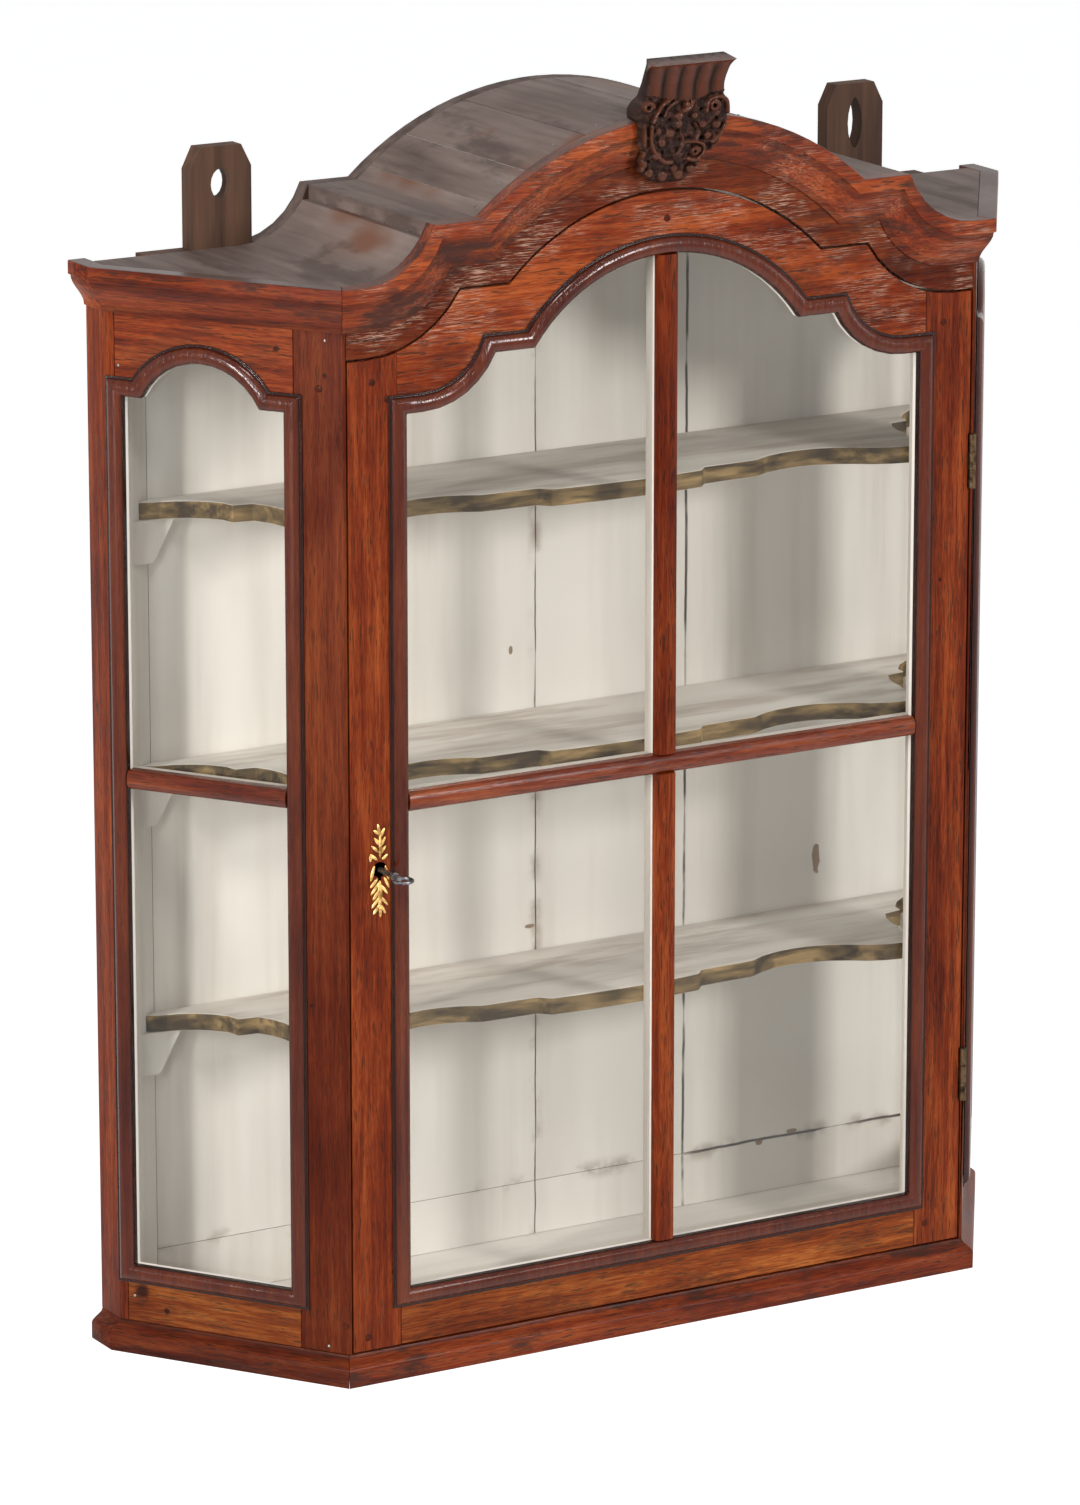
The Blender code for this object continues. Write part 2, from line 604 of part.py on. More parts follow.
def make_side(side, name, oak, glass, case):
    foot = BASE_HEIGHT + FIT
    opening = cant_sight(BEAD_LAP)
    rear = CANT_POST_WIDTH + FIT
    front = CANT_LENGTH - CANT_STILE_WIDTH - FIT
    post = add(f"post_{name}", upright(post_outline(side), foot, FRAME_TOP), oak, case)
    for top in SHELF_TOPS:
        under = top - SHELF_THICKNESS - FIT
        inner = BODY_HALF_WIDTH - POST_WIDTH
        corner = abs(cant_point(1, CANT_POST_WIDTH, -FRAME_THICKNESS)[0])
        outline = [(inner - BRACKET_WIDTH, under), (corner, under),
                   (corner, under - BRACKET_HEIGHT), (inner, under - BRACKET_HEIGHT)]
        wedge = front_board([(side * x, z) for x, z in outline],
                            PLANK_THICKNESS + FIT + BRACKET_THICKNESS, PLANK_THICKNESS + FIT)
        shape(post, wedge, "UNION")
    add(f"stile_{name}", upright(stile_outline(side), foot, FRAME_TOP), oak, case)

    crown = [(rear, opening[1][1])] + opening[2:-2] + [(front, opening[1][1])]
    top_rail = crown + [(front, FRAME_TOP), (rear, FRAME_TOP)]
    add(f"cant_top_{name}", cant_board(side, top_rail, 0, -FRAME_THICKNESS), oak, case)
    low = SIGHT_BOTTOM - BEAD_LAP
    foot_rail = [(rear, foot), (front, foot), (front, low), (rear, low)]
    add(f"cant_foot_{name}", cant_board(side, foot_rail, 0, -FRAME_THICKNESS), oak, case)

    profile = bead_profile()
    paths = [cant_sight(across) for across, _ in profile]
    rings = [[cant_point(side, path[spot][0], out, path[spot][1])
              for path, (_, out) in zip(paths, profile)] for spot in range(len(opening))]
    add(f"cant_bead_{name}", loft(rings, closed=True), oak, case)

    bar_front = [cant_sight(0)[0][0] + FIT, cant_sight(0)[-1][0] - FIT]
    rings = [[cant_point(side, along, out, CANT_BAR_HEIGHT + across)
              for across, out in bar_crown(LEVEL_BAR_WIDTH, ROUND_BAR)] for along in bar_front]
    bar = add(f"cant_bar_{name}", loft(rings), oak, case)
    half = BAR_CORE_WIDTH / 2
    core = [(rear, CANT_BAR_HEIGHT - half), (front, CANT_BAR_HEIGHT - half),
            (front, CANT_BAR_HEIGHT + half), (rear, CANT_BAR_HEIGHT + half)]
    shape(bar, cant_board(side, core, -GLASS_SETBACK, -FRAME_THICKNESS), "UNION")

    pane_edge = cant_sight(BEAD_LAP - GLASS_FIT)
    left, right = pane_edge[0][0], pane_edge[-1][0]
    lower = [(left, pane_edge[0][1]), (right, pane_edge[0][1]),
             (right, CANT_BAR_HEIGHT - half - GLASS_FIT), (left, CANT_BAR_HEIGHT - half - GLASS_FIT)]
    upper = [(left, CANT_BAR_HEIGHT + half + GLASS_FIT)] + pane_edge[1:-1] + [
        (right, CANT_BAR_HEIGHT + half + GLASS_FIT)]
    for place, outline in (("lower", lower), ("upper", upper)):
        pane = cant_board(side, outline, -GLASS_SETBACK, -GLASS_SETBACK - GLASS_THICKNESS)
        add(f"cant_pane_{place}_{name}", pane, glass, case)


# Back


def ear_outline(centre):
    """Chamfered top of an ear, from its left foot to its right one."""
    half, narrow = EAR_WIDTH / 2, EAR_TOP_WIDTH / 2
    return [(centre - half, EAR_TOP - EAR_CHAMFER), (centre - narrow, EAR_TOP),
            (centre + narrow, EAR_TOP), (centre + half, EAR_TOP - EAR_CHAMFER)]


def make_back(painted, case):
    inner = BODY_HALF_WIDTH - POST_WIDTH - FIT
    foot = BACK_RAIL_TOP + FIT
    half = EAR_WIDTH / 2
    spans = {
        "left": (-inner, PLANK_JOINTS[0] - FIT / 2),
        "middle": (PLANK_JOINTS[0] + FIT / 2, PLANK_JOINTS[1] - FIT / 2),
        "right": (PLANK_JOINTS[1] + FIT / 2, inner),
    }
    ears = {"left": (-EAR_CENTRE, LEFT_HOLE, LEFT_HOLE_DROP, OVAL),
            "right": (EAR_CENTRE, RIGHT_HOLE, RIGHT_HOLE_DROP, POINTED_OVAL)}
    for name, (low, high) in spans.items():
        top = CORNICE_TOP.between(low, high)
        if name in ears:
            centre = ears[name][0]
            top = (CORNICE_TOP.between(low, centre - half) + ear_outline(centre)
                   + CORNICE_TOP.between(centre + half, high))
        outline = [(low, foot)] + top + [(high, foot)]
        plank = add(f"back_plank_{name}", front_board(outline, PLANK_THICKNESS, 0.0), painted, case)
        if name in ears:
            centre, (width, height), drop, point = ears[name]
            hole = oval(width, height, centre, EAR_TOP - drop, point)
            shape(plank, front_board(hole, PLANK_THICKNESS + FIT, -FIT))
    rail = [(-inner, BASE_HEIGHT + FIT), (inner, BASE_HEIGHT + FIT),
            (inner, BACK_RAIL_TOP), (-inner, BACK_RAIL_TOP)]
    add("back_rail", front_board(rail, PLANK_THICKNESS, 0.0), painted, case)


# Roof, cornice and frieze


def roof_strip(outline):
    return front_board(outline, BODY_DEPTH, PLANK_THICKNESS + FIT)


def make_roof(weathered, case):
    step_under = CORNICE_TOP.step - ROOF_THICKNESS
    corner = CORNICE_TOP.step_end
    seam = CORNICE_TOP.arch_foot - ROOF_SEAM_INSET
    seam_angle = math.asin(seam / ARCH_RADIUS)
    under_radius = ARCH_RADIUS - ROOF_THICKNESS
    seam_low = under_radius * math.sin(seam_angle)

    for side, name in ((-1, "left"), (1, "right")):
        top = [point for point in CORNICE_TOP.between(corner, BODY_HALF_WIDTH)
               if point[1] < step_under - ROOF_LAP]
        meet = CORNICE_TOP.sweep_x - math.sqrt(
            CORNICE_TOP.sweep_radius ** 2 - (CASE_TOP + CORNICE_TOP.sweep_radius - step_under) ** 2)
        under = ROOF_UNDER.between(ROOF_UNDER.step_end, BODY_HALF_WIDTH)
        lip = step_under - FIT
        outline = ([(under[0][0] + FIT, lip), (meet, lip)] + top
                   + [(x, z) for x, z in under[:0:-1]])
        board = roof_strip([(side * x, z) for x, z in outline])
        corner_point = Vector(cant_point(side, 0, 0))
        outwards = Vector(cant_point(side, 0, 1)) - corner_point
        cut = bmesh.ops.bisect_plane(board, geom=board.verts[:] + board.edges[:] + board.faces[:],
                                     plane_co=corner_point, plane_no=outwards, clear_outer=True)
        edges = [item for item in cut["geom_cut"] if isinstance(item, bmesh.types.BMEdge)]
        bmesh.ops.contextual_create(board, geom=edges)
        add(f"roof_end_{name}", board, weathered, case)

        top = [(seam, CORNICE_TOP.height(seam))] + [
            (x, z) for x, z in CORNICE_TOP.between(seam, corner)[1:]]
        under = ROOF_UNDER.between(seam_low, ROOF_UNDER.arch_foot)
        outline = top + [(corner, step_under)] + under[::-1]
        add(f"roof_step_{name}", roof_strip([(side * x, z) for x, z in outline]), weathered, case)

    total = sum(ROOF_PLANKS)
    gap = FIT / ARCH_RADIUS
    start = -seam_angle
    for number, width in enumerate(ROOF_PLANKS, 1):
        end = start + 2 * seam_angle * width / total
        steps = 4
        angles = [start + gap + (end - start - 2 * gap) * step / steps for step in range(steps + 1)]
        outline = [(radius * math.sin(angle), ARCH_CENTRE + radius * math.cos(angle))
                   for radius, spread in ((ARCH_RADIUS, angles), (under_radius, angles[::-1]))
                   for angle in spread]
        add(f"roof_arch_{number}", roof_strip(outline), weathered, case)
        start = end


def cornice_profile():
    """Section of the cornice as (share of the way down, out of the face)."""
    fascia = CORNICE_FASCIA / CORNICE_HEIGHT
    shoulder = CORNICE_PROJECTION - CORNICE_STEP
    start = fascia + CORNICE_CANT / CORNICE_HEIGHT
    end = 1 - CORNICE_FILLET / CORNICE_HEIGHT
    section = [(0, FIT), (0, CORNICE_PROJECTION - CORNICE_EASE),
               (CORNICE_EASE / CORNICE_HEIGHT, CORNICE_PROJECTION), (fascia, CORNICE_PROJECTION),
               (start, shoulder)]
    steps = 7
    for step in range(1, steps + 1):
        share = step / steps
        fall = 0.5 - 0.5 * math.cos(math.pi * share)
        section.append((start + (end - start) * share,
                        shoulder - (shoulder - CORNICE_FOOT) * fall))
    return section + [(1, CORNICE_FOOT), (1, FIT)]


def make_cornice(oak, case):
    profile = cornice_profile()
    low, high = CASE_TOP - CORNICE_HEIGHT, CASE_TOP
    side_profile = [(out, high + (low - high) * down) for down, out in profile]
    for side, name in ((-1, "left"), (1, "right")):
        add(f"cornice_{name}", side_moulding(side, side_profile), oak, case)
    tops = [CORNICE_TOP.points(plan_corners(out)[2][0]) for _, out in profile]
    lows = [CORNICE_LOW.points(plan_corners(out)[2][0]) for _, out in profile]
    rings = []
    for spot in range(len(tops[0])):
        ring = []
        for number, (down, out) in enumerate(profile):
            top, foot = Vector(tops[number][spot]), Vector(lows[number][spot])
            x, z = top.lerp(foot, down)
            ring.append((x, -BODY_DEPTH - out, z))
        rings.append(ring)
    add("cornice_front", loft(rings), oak, case)

    top = CORNICE_TOP.moved(-ROOF_THICKNESS - FIT).between(-STILE_FACE + FIT, STILE_FACE - FIT)
    low = DOOR_TOP.moved(DOOR_TOP_GAP).between(-STILE_FACE + FIT, STILE_FACE - FIT)
    add("frieze", front_board(top + low[::-1], BODY_DEPTH, BODY_DEPTH - FRIEZE_THICKNESS),
        oak, case)


# Shelves


def shelf_front():
    """Serpentine front edge of the right half, from the middle to the rear post."""

    def front(points):
        return [(FRONT_HALF_WIDTH - inwards, behind - BODY_DEPTH) for inwards, behind in points]

    def cant(points):
        return [cant_point(1, along, -behind)[:2] for along, behind in points]

    middle = [(across, behind - BODY_DEPTH) for across, behind in SHELF_MIDDLE_ARC]
    hollow, corner = (front(points) for points in SHELF_FRONT_ARCS)
    cove, tail = (cant(points) for points in SHELF_CANT_ARCS)
    notch = (SHELF_NOTCH[0], SHELF_NOTCH[1] - BODY_DEPTH)
    edge = arc(*middle, 3) + [middle[-1], notch]
    edge += arc(*hollow, 6) + arc(*corner, 3) + [corner[-1]] + front([SHELF_TIP])
    edge += arc(*cove, 3) + [cove[-1]] + cant([SHELF_CUSP])
    return edge + arc(*tail, 4) + [tail[-1]]


def make_shelves(worn, case):
    inner = Vector((BODY_HALF_WIDTH - POST_WIDTH, -PLANK_THICKNESS))
    face = Vector(cant_point(1, CANT_POST_WIDTH, -FRAME_THICKNESS)[:2]) - inner
    face.normalize()
    clear = Vector((face.y, -face.x)) * FIT
    end = inner + face * SHELF_END_WIDTH + clear
    right = [(inner.x - FIT, inner.y - FIT), (end.x, end.y)] + shelf_front()[::-1]
    outline = right + [(-x, y) for x, y in right[-2::-1]]
    for name, top in zip(("lower", "middle", "upper"), SHELF_TOPS):
        add(f"shelf_{name}", upright(outline, top - SHELF_THICKNESS, top), worn, case)


# Door


def door_bar(section, start, end, level):
    """Front of a glazing bar; the section is (across, out) and the bar runs along x or z."""
    rings = []
    for spot in (start, end):
        if level:
            ring = [(spot, -BODY_DEPTH - out, DOOR_BAR_HEIGHT + across) for across, out in section]
        else:
            ring = [(across, -BODY_DEPTH - out, spot) for across, out in section]
        rings.append(ring)
    return loft(rings)


def make_door(oak, glass, door):
    opening_top = SIGHT_TOP.moved(BEAD_LAP)
    low = SIGHT_BOTTOM - BEAD_LAP
    shoulder = DOOR_OPENING - FIT
    for side, name in ((-1, "left"), (1, "right")):
        spans = sorted((side * DOOR_OPENING, side * DOOR_EDGE))
        outline = ([(spans[0], DOOR_BOTTOM)] + DOOR_TOP.between(*spans) + [(spans[1], DOOR_BOTTOM)])
        stile = add(f"door_stile_{name}", front_board(outline, BODY_DEPTH, DOOR_BACK), oak, door)
        if side > 0:
            for height in HINGE_HEIGHTS:
                shape(stile, hinge_housing(height, -1))
                shape(stile, hinge_notch(height))
        else:
            shape(stile, keyhole(BODY_DEPTH + OVERCUT, DOOR_BACK - OVERCUT))

    top_rail = (DOOR_TOP.between(-shoulder, shoulder)
                + opening_top.between(-shoulder, shoulder)[::-1])
    add("door_top_rail", front_board(top_rail, BODY_DEPTH, DOOR_BACK), oak, door)
    foot_rail = [(-shoulder, DOOR_BOTTOM), (shoulder, DOOR_BOTTOM), (shoulder, low), (-shoulder, low)]
    add("door_foot_rail", front_board(foot_rail, BODY_DEPTH, DOOR_BACK), oak, door)

    profile = bead_profile()
    sight = DOOR_OPENING - BEAD_LAP
    paths = []
    for across, _ in profile:
        path = SIGHT_TOP.moved(across).points(sight + across)
        ends = [(-sight - across, SIGHT_BOTTOM - across), (sight + across, SIGHT_BOTTOM - across)]
        paths.append([ends[0]] + path + [ends[1]])
    rings = [[(path[spot][0], -BODY_DEPTH - out, path[spot][1])
              for path, (_, out) in zip(paths, profile)] for spot in range(len(paths[0]))]
    add("door_bead", loft(rings, closed=True), oak, door)

    half = BAR_CORE_WIDTH / 2
    glass_face = -BODY_DEPTH + GLASS_SETBACK
    crown_top = SIGHT_TOP.height(UPRIGHT_BAR_WIDTH / 2) - FIT
    upright_bar = add("door_bar_upright", door_bar(
        bar_crown(UPRIGHT_BAR_WIDTH, FLAT_BAR), SIGHT_BOTTOM + FIT, crown_top, False), oak, door)
    core_top = opening_top.height(half) - FIT
    shape(upright_bar, block((-half, glass_face, low + FIT), (half, -DOOR_BACK, core_top)),
          "UNION")
    shape(upright_bar, block(
        (-UPRIGHT_BAR_WIDTH, -BODY_DEPTH - 2 * BAR_RISE, DOOR_BAR_HEIGHT - LEVEL_BAR_WIDTH / 2 - FIT),
        (UPRIGHT_BAR_WIDTH, glass_face, DOOR_BAR_HEIGHT + LEVEL_BAR_WIDTH / 2 + FIT)))
    level_bar = add("door_bar_level", door_bar(
        bar_crown(LEVEL_BAR_WIDTH, ROUND_BAR), -sight + FIT, sight - FIT, True), oak, door)
    shape(level_bar, block((-shoulder, glass_face, DOOR_BAR_HEIGHT - half),
                           (shoulder, -DOOR_BACK, DOOR_BAR_HEIGHT + half)), "UNION")
    shape(level_bar, block((-half - FIT, glass_face - FIT, DOOR_BAR_HEIGHT - LEVEL_BAR_WIDTH),
                           (half + FIT, -DOOR_BACK + FIT, DOOR_BAR_HEIGHT + LEVEL_BAR_WIDTH)))

    edge = DOOR_OPENING - GLASS_FIT
    core = half + GLASS_FIT
    pane_top = SIGHT_TOP.moved(BEAD_LAP - GLASS_FIT)
    for side, name in ((-1, "left"), (1, "right")):
        spans = sorted((side * core, side * edge))
        lower = [(spans[0], low + GLASS_FIT), (spans[1], low + GLASS_FIT),
                 (spans[1], DOOR_BAR_HEIGHT - core), (spans[0], DOOR_BAR_HEIGHT - core)]
        upper = ([(spans[0], DOOR_BAR_HEIGHT + core)] + pane_top.between(*spans)
                 + [(spans[1], DOOR_BAR_HEIGHT + core)])
        for place, outline in (("lower", lower), ("upper", upper)):
            pane = front_board(outline, BODY_DEPTH - GLASS_SETBACK,
                               BODY_DEPTH - GLASS_SETBACK - GLASS_THICKNESS)
            add(f"door_pane_{place}_{name}", pane, glass, door)


# Hinges


def hinge_housing(height, side):
    """Shallow recess for a leaf: side -1 is in the door, side 1 in the corner stile."""
    wood = DOOR_EDGE if side < 0 else STILE_FACE
    deep = wood + side * (LEAF_THICKNESS - LEAF_PROUD + FIT)
    x0, x1 = sorted((deep, wood - side * OVERCUT))
    half = HINGE_LENGTH / 2 + FIT
    return block((x0, -BODY_DEPTH - OVERCUT, height - half),
                 (x1, -BODY_DEPTH + LEAF_DEPTH + FIT, height + half))


def hinge_notch(height):
    half = HINGE_LENGTH / 2 + FIT
    return rod(BARREL_RADIUS + BARREL_CLEARANCE, (HINGE_X, HINGE_Y, height - half),
               (HINGE_X, HINGE_Y, height + half))


def leaf(side, height, low, high, forward):
    """Flat part of a hinge leaf between two heights."""
    wood = DOOR_EDGE if side < 0 else STILE_FACE
    x0, x1 = sorted((wood - side * LEAF_PROUD, wood + side * (LEAF_THICKNESS - LEAF_PROUD)))
    return block((x0, forward, height + low), (x1, -BODY_DEPTH + LEAF_DEPTH, height + high))


def make_hinges(brass, case, door):
    third = HINGE_LENGTH / 6
    half = HINGE_LENGTH / 2
    clear_y = HINGE_Y + BARREL_RADIUS + BARREL_CLEARANCE
    for height, place in zip(HINGE_HEIGHTS, ("lower", "upper")):
        moving = add(f"hinge_{place}_door_leaf", leaf(-1, height, -half, half, clear_y), brass, door)
        knuckle = [(HINGE_X, HINGE_Y, height + spot) for spot in (-third + FIT, third - FIT)]
        shape(moving, rod(BARREL_RADIUS, *knuckle), "UNION")
        shape(moving, leaf(-1, height, -third + FIT, third - FIT, HINGE_Y), "UNION")
        bore = [(HINGE_X, HINGE_Y, height + spot) for spot in (-third - FIT, third + FIT)]
        shape(moving, rod(PIN_RADIUS + PIN_CLEARANCE, *bore))
        fixed = add(f"hinge_{place}_post_leaf", leaf(1, height, -half, half, clear_y), brass, case)
        for low, high in ((-half, -third), (third, half)):
            ends = [(HINGE_X, HINGE_Y, height + spot) for spot in (low, high)]
            shape(fixed, rod(BARREL_RADIUS, *ends), "UNION")
            shape(fixed, leaf(1, height, low, high, HINGE_Y), "UNION")
        pin = [(HINGE_X, HINGE_Y, height + spot) for spot in (-half + FIT, half - FIT)]
        shape(fixed, rod(PIN_RADIUS, *pin), "UNION")
    stile = bpy.data.objects["stile_right"]
    for height in HINGE_HEIGHTS:
        shape(stile, hinge_housing(height, 1))
        shape(stile, hinge_notch(height))


# Lock, key and escutcheon


def keyhole(front, back):
    """Round hole for the stem and a slot below it for the bit, between two depths."""
    hole = KEY_RADIUS + STEM_CLEARANCE
    slot = KEY_BIT_WIDTH / 2 + SLOT_CLEARANCE
    start = -math.acos(slot / hole)
    foot = LOCK_HEIGHT - KEY_BIT - STEM_CLEARANCE
    steps = 12
    outline = [(KEY_X - slot, foot), (KEY_X + slot, foot)]
    for step in range(steps + 1):
        angle = start + (math.pi - 2 * start) * step / steps
        outline.append((KEY_X + hole * math.cos(angle), LOCK_HEIGHT + hole * math.sin(angle)))
    return front_board(outline, front, back)


def make_lock(iron, brass, door, key_axis):
    x0 = -DOOR_EDGE + FIT
    x1 = x0 + CASE_WIDTH
    front = -DOOR_BACK + FIT
    back = front + CASE_DEPTH
    bottom, top = LOCK_HEIGHT - CASE_BELOW, LOCK_HEIGHT + CASE_ABOVE
    case = add("lock_case", block((x0, front, bottom), (x1, back, top)), iron, door)
    shape(case, block((x0 + CASE_WALL, front - OVERCUT, bottom + CASE_WALL),
                      (x1 - CASE_WALL, back - CASE_WALL, top - CASE_WALL)))
    inside = cant_point(-1, CANT_LENGTH - CANT_STILE_WIDTH, -FRAME_THICKNESS)[1]
    low = LOCK_HEIGHT + NOTCH_RISE
    shape(bpy.data.objects["stile_left"], block(
        (x0 - NOTCH_DEPTH, -DOOR_BACK + NOTCH_SETBACK, low), (x0, inside, low + NOTCH_HEIGHT)))

    foot = LOCK_HEIGHT - PLATE_HEIGHT / 2
    side = [(half, foot + PLATE_HEIGHT * share) for share, half in PLATE_OUTLINE]
    outline = [(KEY_X + x, z) for x, z in side] + [(KEY_X - x, z) for x, z in side[::-1]]
    plate_back = BODY_DEPTH + FIT
    plate = add("escutcheon", front_board(outline, plate_back + PLATE_THICKNESS, plate_back),
                brass, door)
    shape(plate, keyhole(plate_back + PLATE_THICKNESS + OVERCUT, plate_back - OVERCUT))

    tip = -DOOR_BACK + KEY_REACH
    bow_y = -BODY_DEPTH - KEY_LENGTH + BOW_RADIUS + BOW_WIRE
    key = add("key", rod(KEY_RADIUS, (KEY_X, tip, LOCK_HEIGHT),
                         (KEY_X, bow_y + BOW_RADIUS - BOW_WIRE, LOCK_HEIGHT)), iron, key_axis)
    bit = block((KEY_X, -DOOR_BACK + KEY_BIT_START, LOCK_HEIGHT - KEY_BIT_WIDTH / 2),
                (KEY_X + KEY_BIT, tip - FIT, LOCK_HEIGHT + KEY_BIT_WIDTH / 2))
    shape(key, bit, "UNION")
    collar_y = -BODY_DEPTH - KEY_LENGTH / 2
    shape(key, rod(COLLAR_RADIUS, (KEY_X, collar_y, LOCK_HEIGHT),
                   (KEY_X, collar_y - COLLAR_LENGTH, LOCK_HEIGHT)), "UNION")
    bow = bmesh.new()
    ring = bmesh.ops.create_circle(bow, segments=8, radius=BOW_WIRE)["verts"]
    bmesh.ops.rotate(bow, verts=ring, matrix=Matrix.Rotation(math.pi / 2, 3, "X"))
    bmesh.ops.translate(bow, verts=ring, vec=(BOW_RADIUS, 0, 0))
    bmesh.ops.spin(bow, geom=bow.edges[:], axis=(0, 0, 1), angle=math.tau, steps=20,
                   use_merge=True, use_duplicate=False)
    bmesh.ops.translate(bow, verts=bow.verts, vec=(KEY_X, bow_y, LOCK_HEIGHT))
    shape(key, bow, "UNION")


# Carved crest


def scribe():
    """The turned shape of roof, cornice and frieze, which the crest is cut to fit."""
    section = [(0.0, BODY_DEPTH), (ARCH_RADIUS + SCRIBE_GAP, BODY_DEPTH)]
    for down, out in cornice_profile()[1:-1]:
        ease = SCRIBE_GAP if down < CORNICE_FASCIA / CORNICE_HEIGHT / 2 else -SCRIBE_GAP
        section.append((ARCH_RADIUS + ease - CORNICE_HEIGHT * down, -out - SCRIBE_GAP))
    section += [(CORNICE_LOW.arch_radius - SCRIBE_GAP, -SCRIBE_GAP), (0.0, -SCRIBE_GAP)]
    bm = bmesh.new()
    verts = [bm.verts.new((0, out - BODY_DEPTH, ARCH_CENTRE + radius)) for radius, out in section]
    edges = [bm.edges.new(pair) for pair in zip(verts, verts[1:])]
    bmesh.ops.spin(bm, geom=edges, cent=(0, 0, ARCH_CENTRE), axis=(0, 1, 0),
                   angle=math.tau, steps=120, use_merge=True, use_duplicate=False)
    bmesh.ops.remove_doubles(bm, verts=bm.verts, dist=WELD)
    return bm


def make_crest(carved, case):
    """A fluted block over scrolls and leaves, scribed down over the cornice."""
    columns = 4 * CREST_FLUTES
    rings = []
    for rise, left, right, out, behind in CREST_ROWS:
        fluted = rise > CREST_WAIST
        height = ARCH_TOP + rise
        middle, half = (left + right) / 2, (right - left) / 2
        ring = []
        for column in range(columns + 1):
            across = -1 + 2 * column / columns
            flute = math.sin(math.pi * CREST_FLUTES * (across + 1) / 2) ** 2
            relief = -FLUTE_DEPTH * flute if fluted else CREST_SWELL * (1 - across ** 2)
            ring.append((middle + half * across, -BODY_DEPTH - out - relief, height))
        tilt = CREST_LIFT if rise == CREST_ROWS[-1][0] else 0.0
        for side in (1, -1):
            ring.append((middle + side * half * CREST_BACK_WIDTH, -BODY_DEPTH - behind, height + tilt))
        rings.append(ring)
    crest = add("crest", loft(rings), carved, case)
    for radius, x, rise, out in CREST_SCROLLS:
        face = (x, -BODY_DEPTH - out, ARCH_TOP + rise)
        eye = (x, -BODY_DEPTH - out + 2 * radius, ARCH_TOP + rise)
        shape(crest, rod(radius, eye, face), "UNION")
    shape(crest, scribe())


def build():
    clear_scene()
    oak = finish("oak", (0.22, 0.045, 0.016), 0.38)
    carved = finish("dark_oak", (0.06, 0.02, 0.012), 0.5)
    painted = finish("off_white_paint", (0.60, 0.57, 0.50), 0.75)
    worn = finish("worn_shelf", (0.42, 0.38, 0.32), 0.8)
    weathered = finish("weathered_roof", (0.15, 0.12, 0.11), 0.7)
    glass = finish("glass", (0.9, 0.95, 0.93), 0.05, alpha=0.25)
    brass = finish("gilt_brass", (0.55, 0.33, 0.08), 0.35, metallic=1.0)
    iron = finish("dark_iron", (0.08, 0.08, 0.09), 0.45, metallic=1.0)

    case = pivot("case", (0, 0, -HANG_HEIGHT))
    door = pivot("door_hinge", (HINGE_X, HINGE_Y, 0), case)
    key_axis = pivot("key_axis", (KEY_X, -BODY_DEPTH, LOCK_HEIGHT), door)

    make_base(oak, painted, case)
    for side, name in ((-1, "left"), (1, "right")):
        make_side(side, name, oak, glass, case)
    make_back(painted, case)
    make_roof(weathered, case)
    make_cornice(oak, case)
    make_shelves(worn, case)
    make_door(oak, glass, door)
    make_hinges(brass, case, door)
    make_lock(iron, brass, door, key_axis)
    make_crest(carved, case)


build()
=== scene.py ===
# %% [markdown]
# # A hanging display cabinet in varnished oak
#
# The cabinet has canted glazed sides, an arched door and a stepped cornice with a carved crest.
# Its joinery comes from the CAD model, which this script loads as a fixed frame. What is left to
# do here is everything that makes it look like an old cabinet: red-brown varnish over oak grain,
# chalky paint inside, wavy glass, a gilt key plate, carving, pegs, nails and wear.

# %% Load the frame
import math

import bmesh
import bpy
from mathutils import Matrix, Vector, kdtree, noise


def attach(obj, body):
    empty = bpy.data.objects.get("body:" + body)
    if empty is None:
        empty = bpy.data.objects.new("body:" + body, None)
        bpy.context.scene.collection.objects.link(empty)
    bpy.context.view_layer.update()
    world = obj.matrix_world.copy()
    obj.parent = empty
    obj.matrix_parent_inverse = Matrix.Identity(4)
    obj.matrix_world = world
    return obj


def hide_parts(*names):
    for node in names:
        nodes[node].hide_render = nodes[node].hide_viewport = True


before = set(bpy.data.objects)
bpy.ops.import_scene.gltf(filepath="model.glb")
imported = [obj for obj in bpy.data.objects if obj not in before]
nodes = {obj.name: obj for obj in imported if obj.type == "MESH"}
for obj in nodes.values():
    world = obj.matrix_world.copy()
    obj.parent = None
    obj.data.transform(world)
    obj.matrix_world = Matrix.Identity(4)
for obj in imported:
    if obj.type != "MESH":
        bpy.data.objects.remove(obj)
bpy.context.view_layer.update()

# %% [markdown]
# ## The camera
#
# The photograph was taken from the left, a little above the cabinet, with a long lens. Place,
# direction and focal length were worked out from the corners of the cabinet in the picture, so
# the render can be laid over the photograph.

# %% Camera
CAMERA_PLACE = Vector((-3.0017, -5.1476, 1.0493))
CAMERA_YAW = 0.5284
CAMERA_PITCH = 0.2570
CAMERA_LENS = 173.77


def added(name, data):
    """A new object in the scene."""
    made = bpy.data.objects.new(name, data)
    bpy.context.scene.collection.objects.link(made)
    return made


camera = added("camera", bpy.data.cameras.new("camera"))
camera.data.lens = CAMERA_LENS
camera.location = CAMERA_PLACE
camera.rotation_euler = (math.pi / 2 - CAMERA_PITCH, 0, -CAMERA_YAW)
bpy.context.scene.camera = camera
print("camera at", tuple(round(v, 2) for v in CAMERA_PLACE))

# %% [markdown]
# ## Lamps
#
# A varnished surface shows its surroundings, so the lamps matter as much as the varnish. Most of
# the light comes from a large panel a little to the right, so the door's right stile and its bar
# throw soft upright shadows on the back. A narrow strip at the left and a small panel above draw
# the bright lines along the rounded beads.

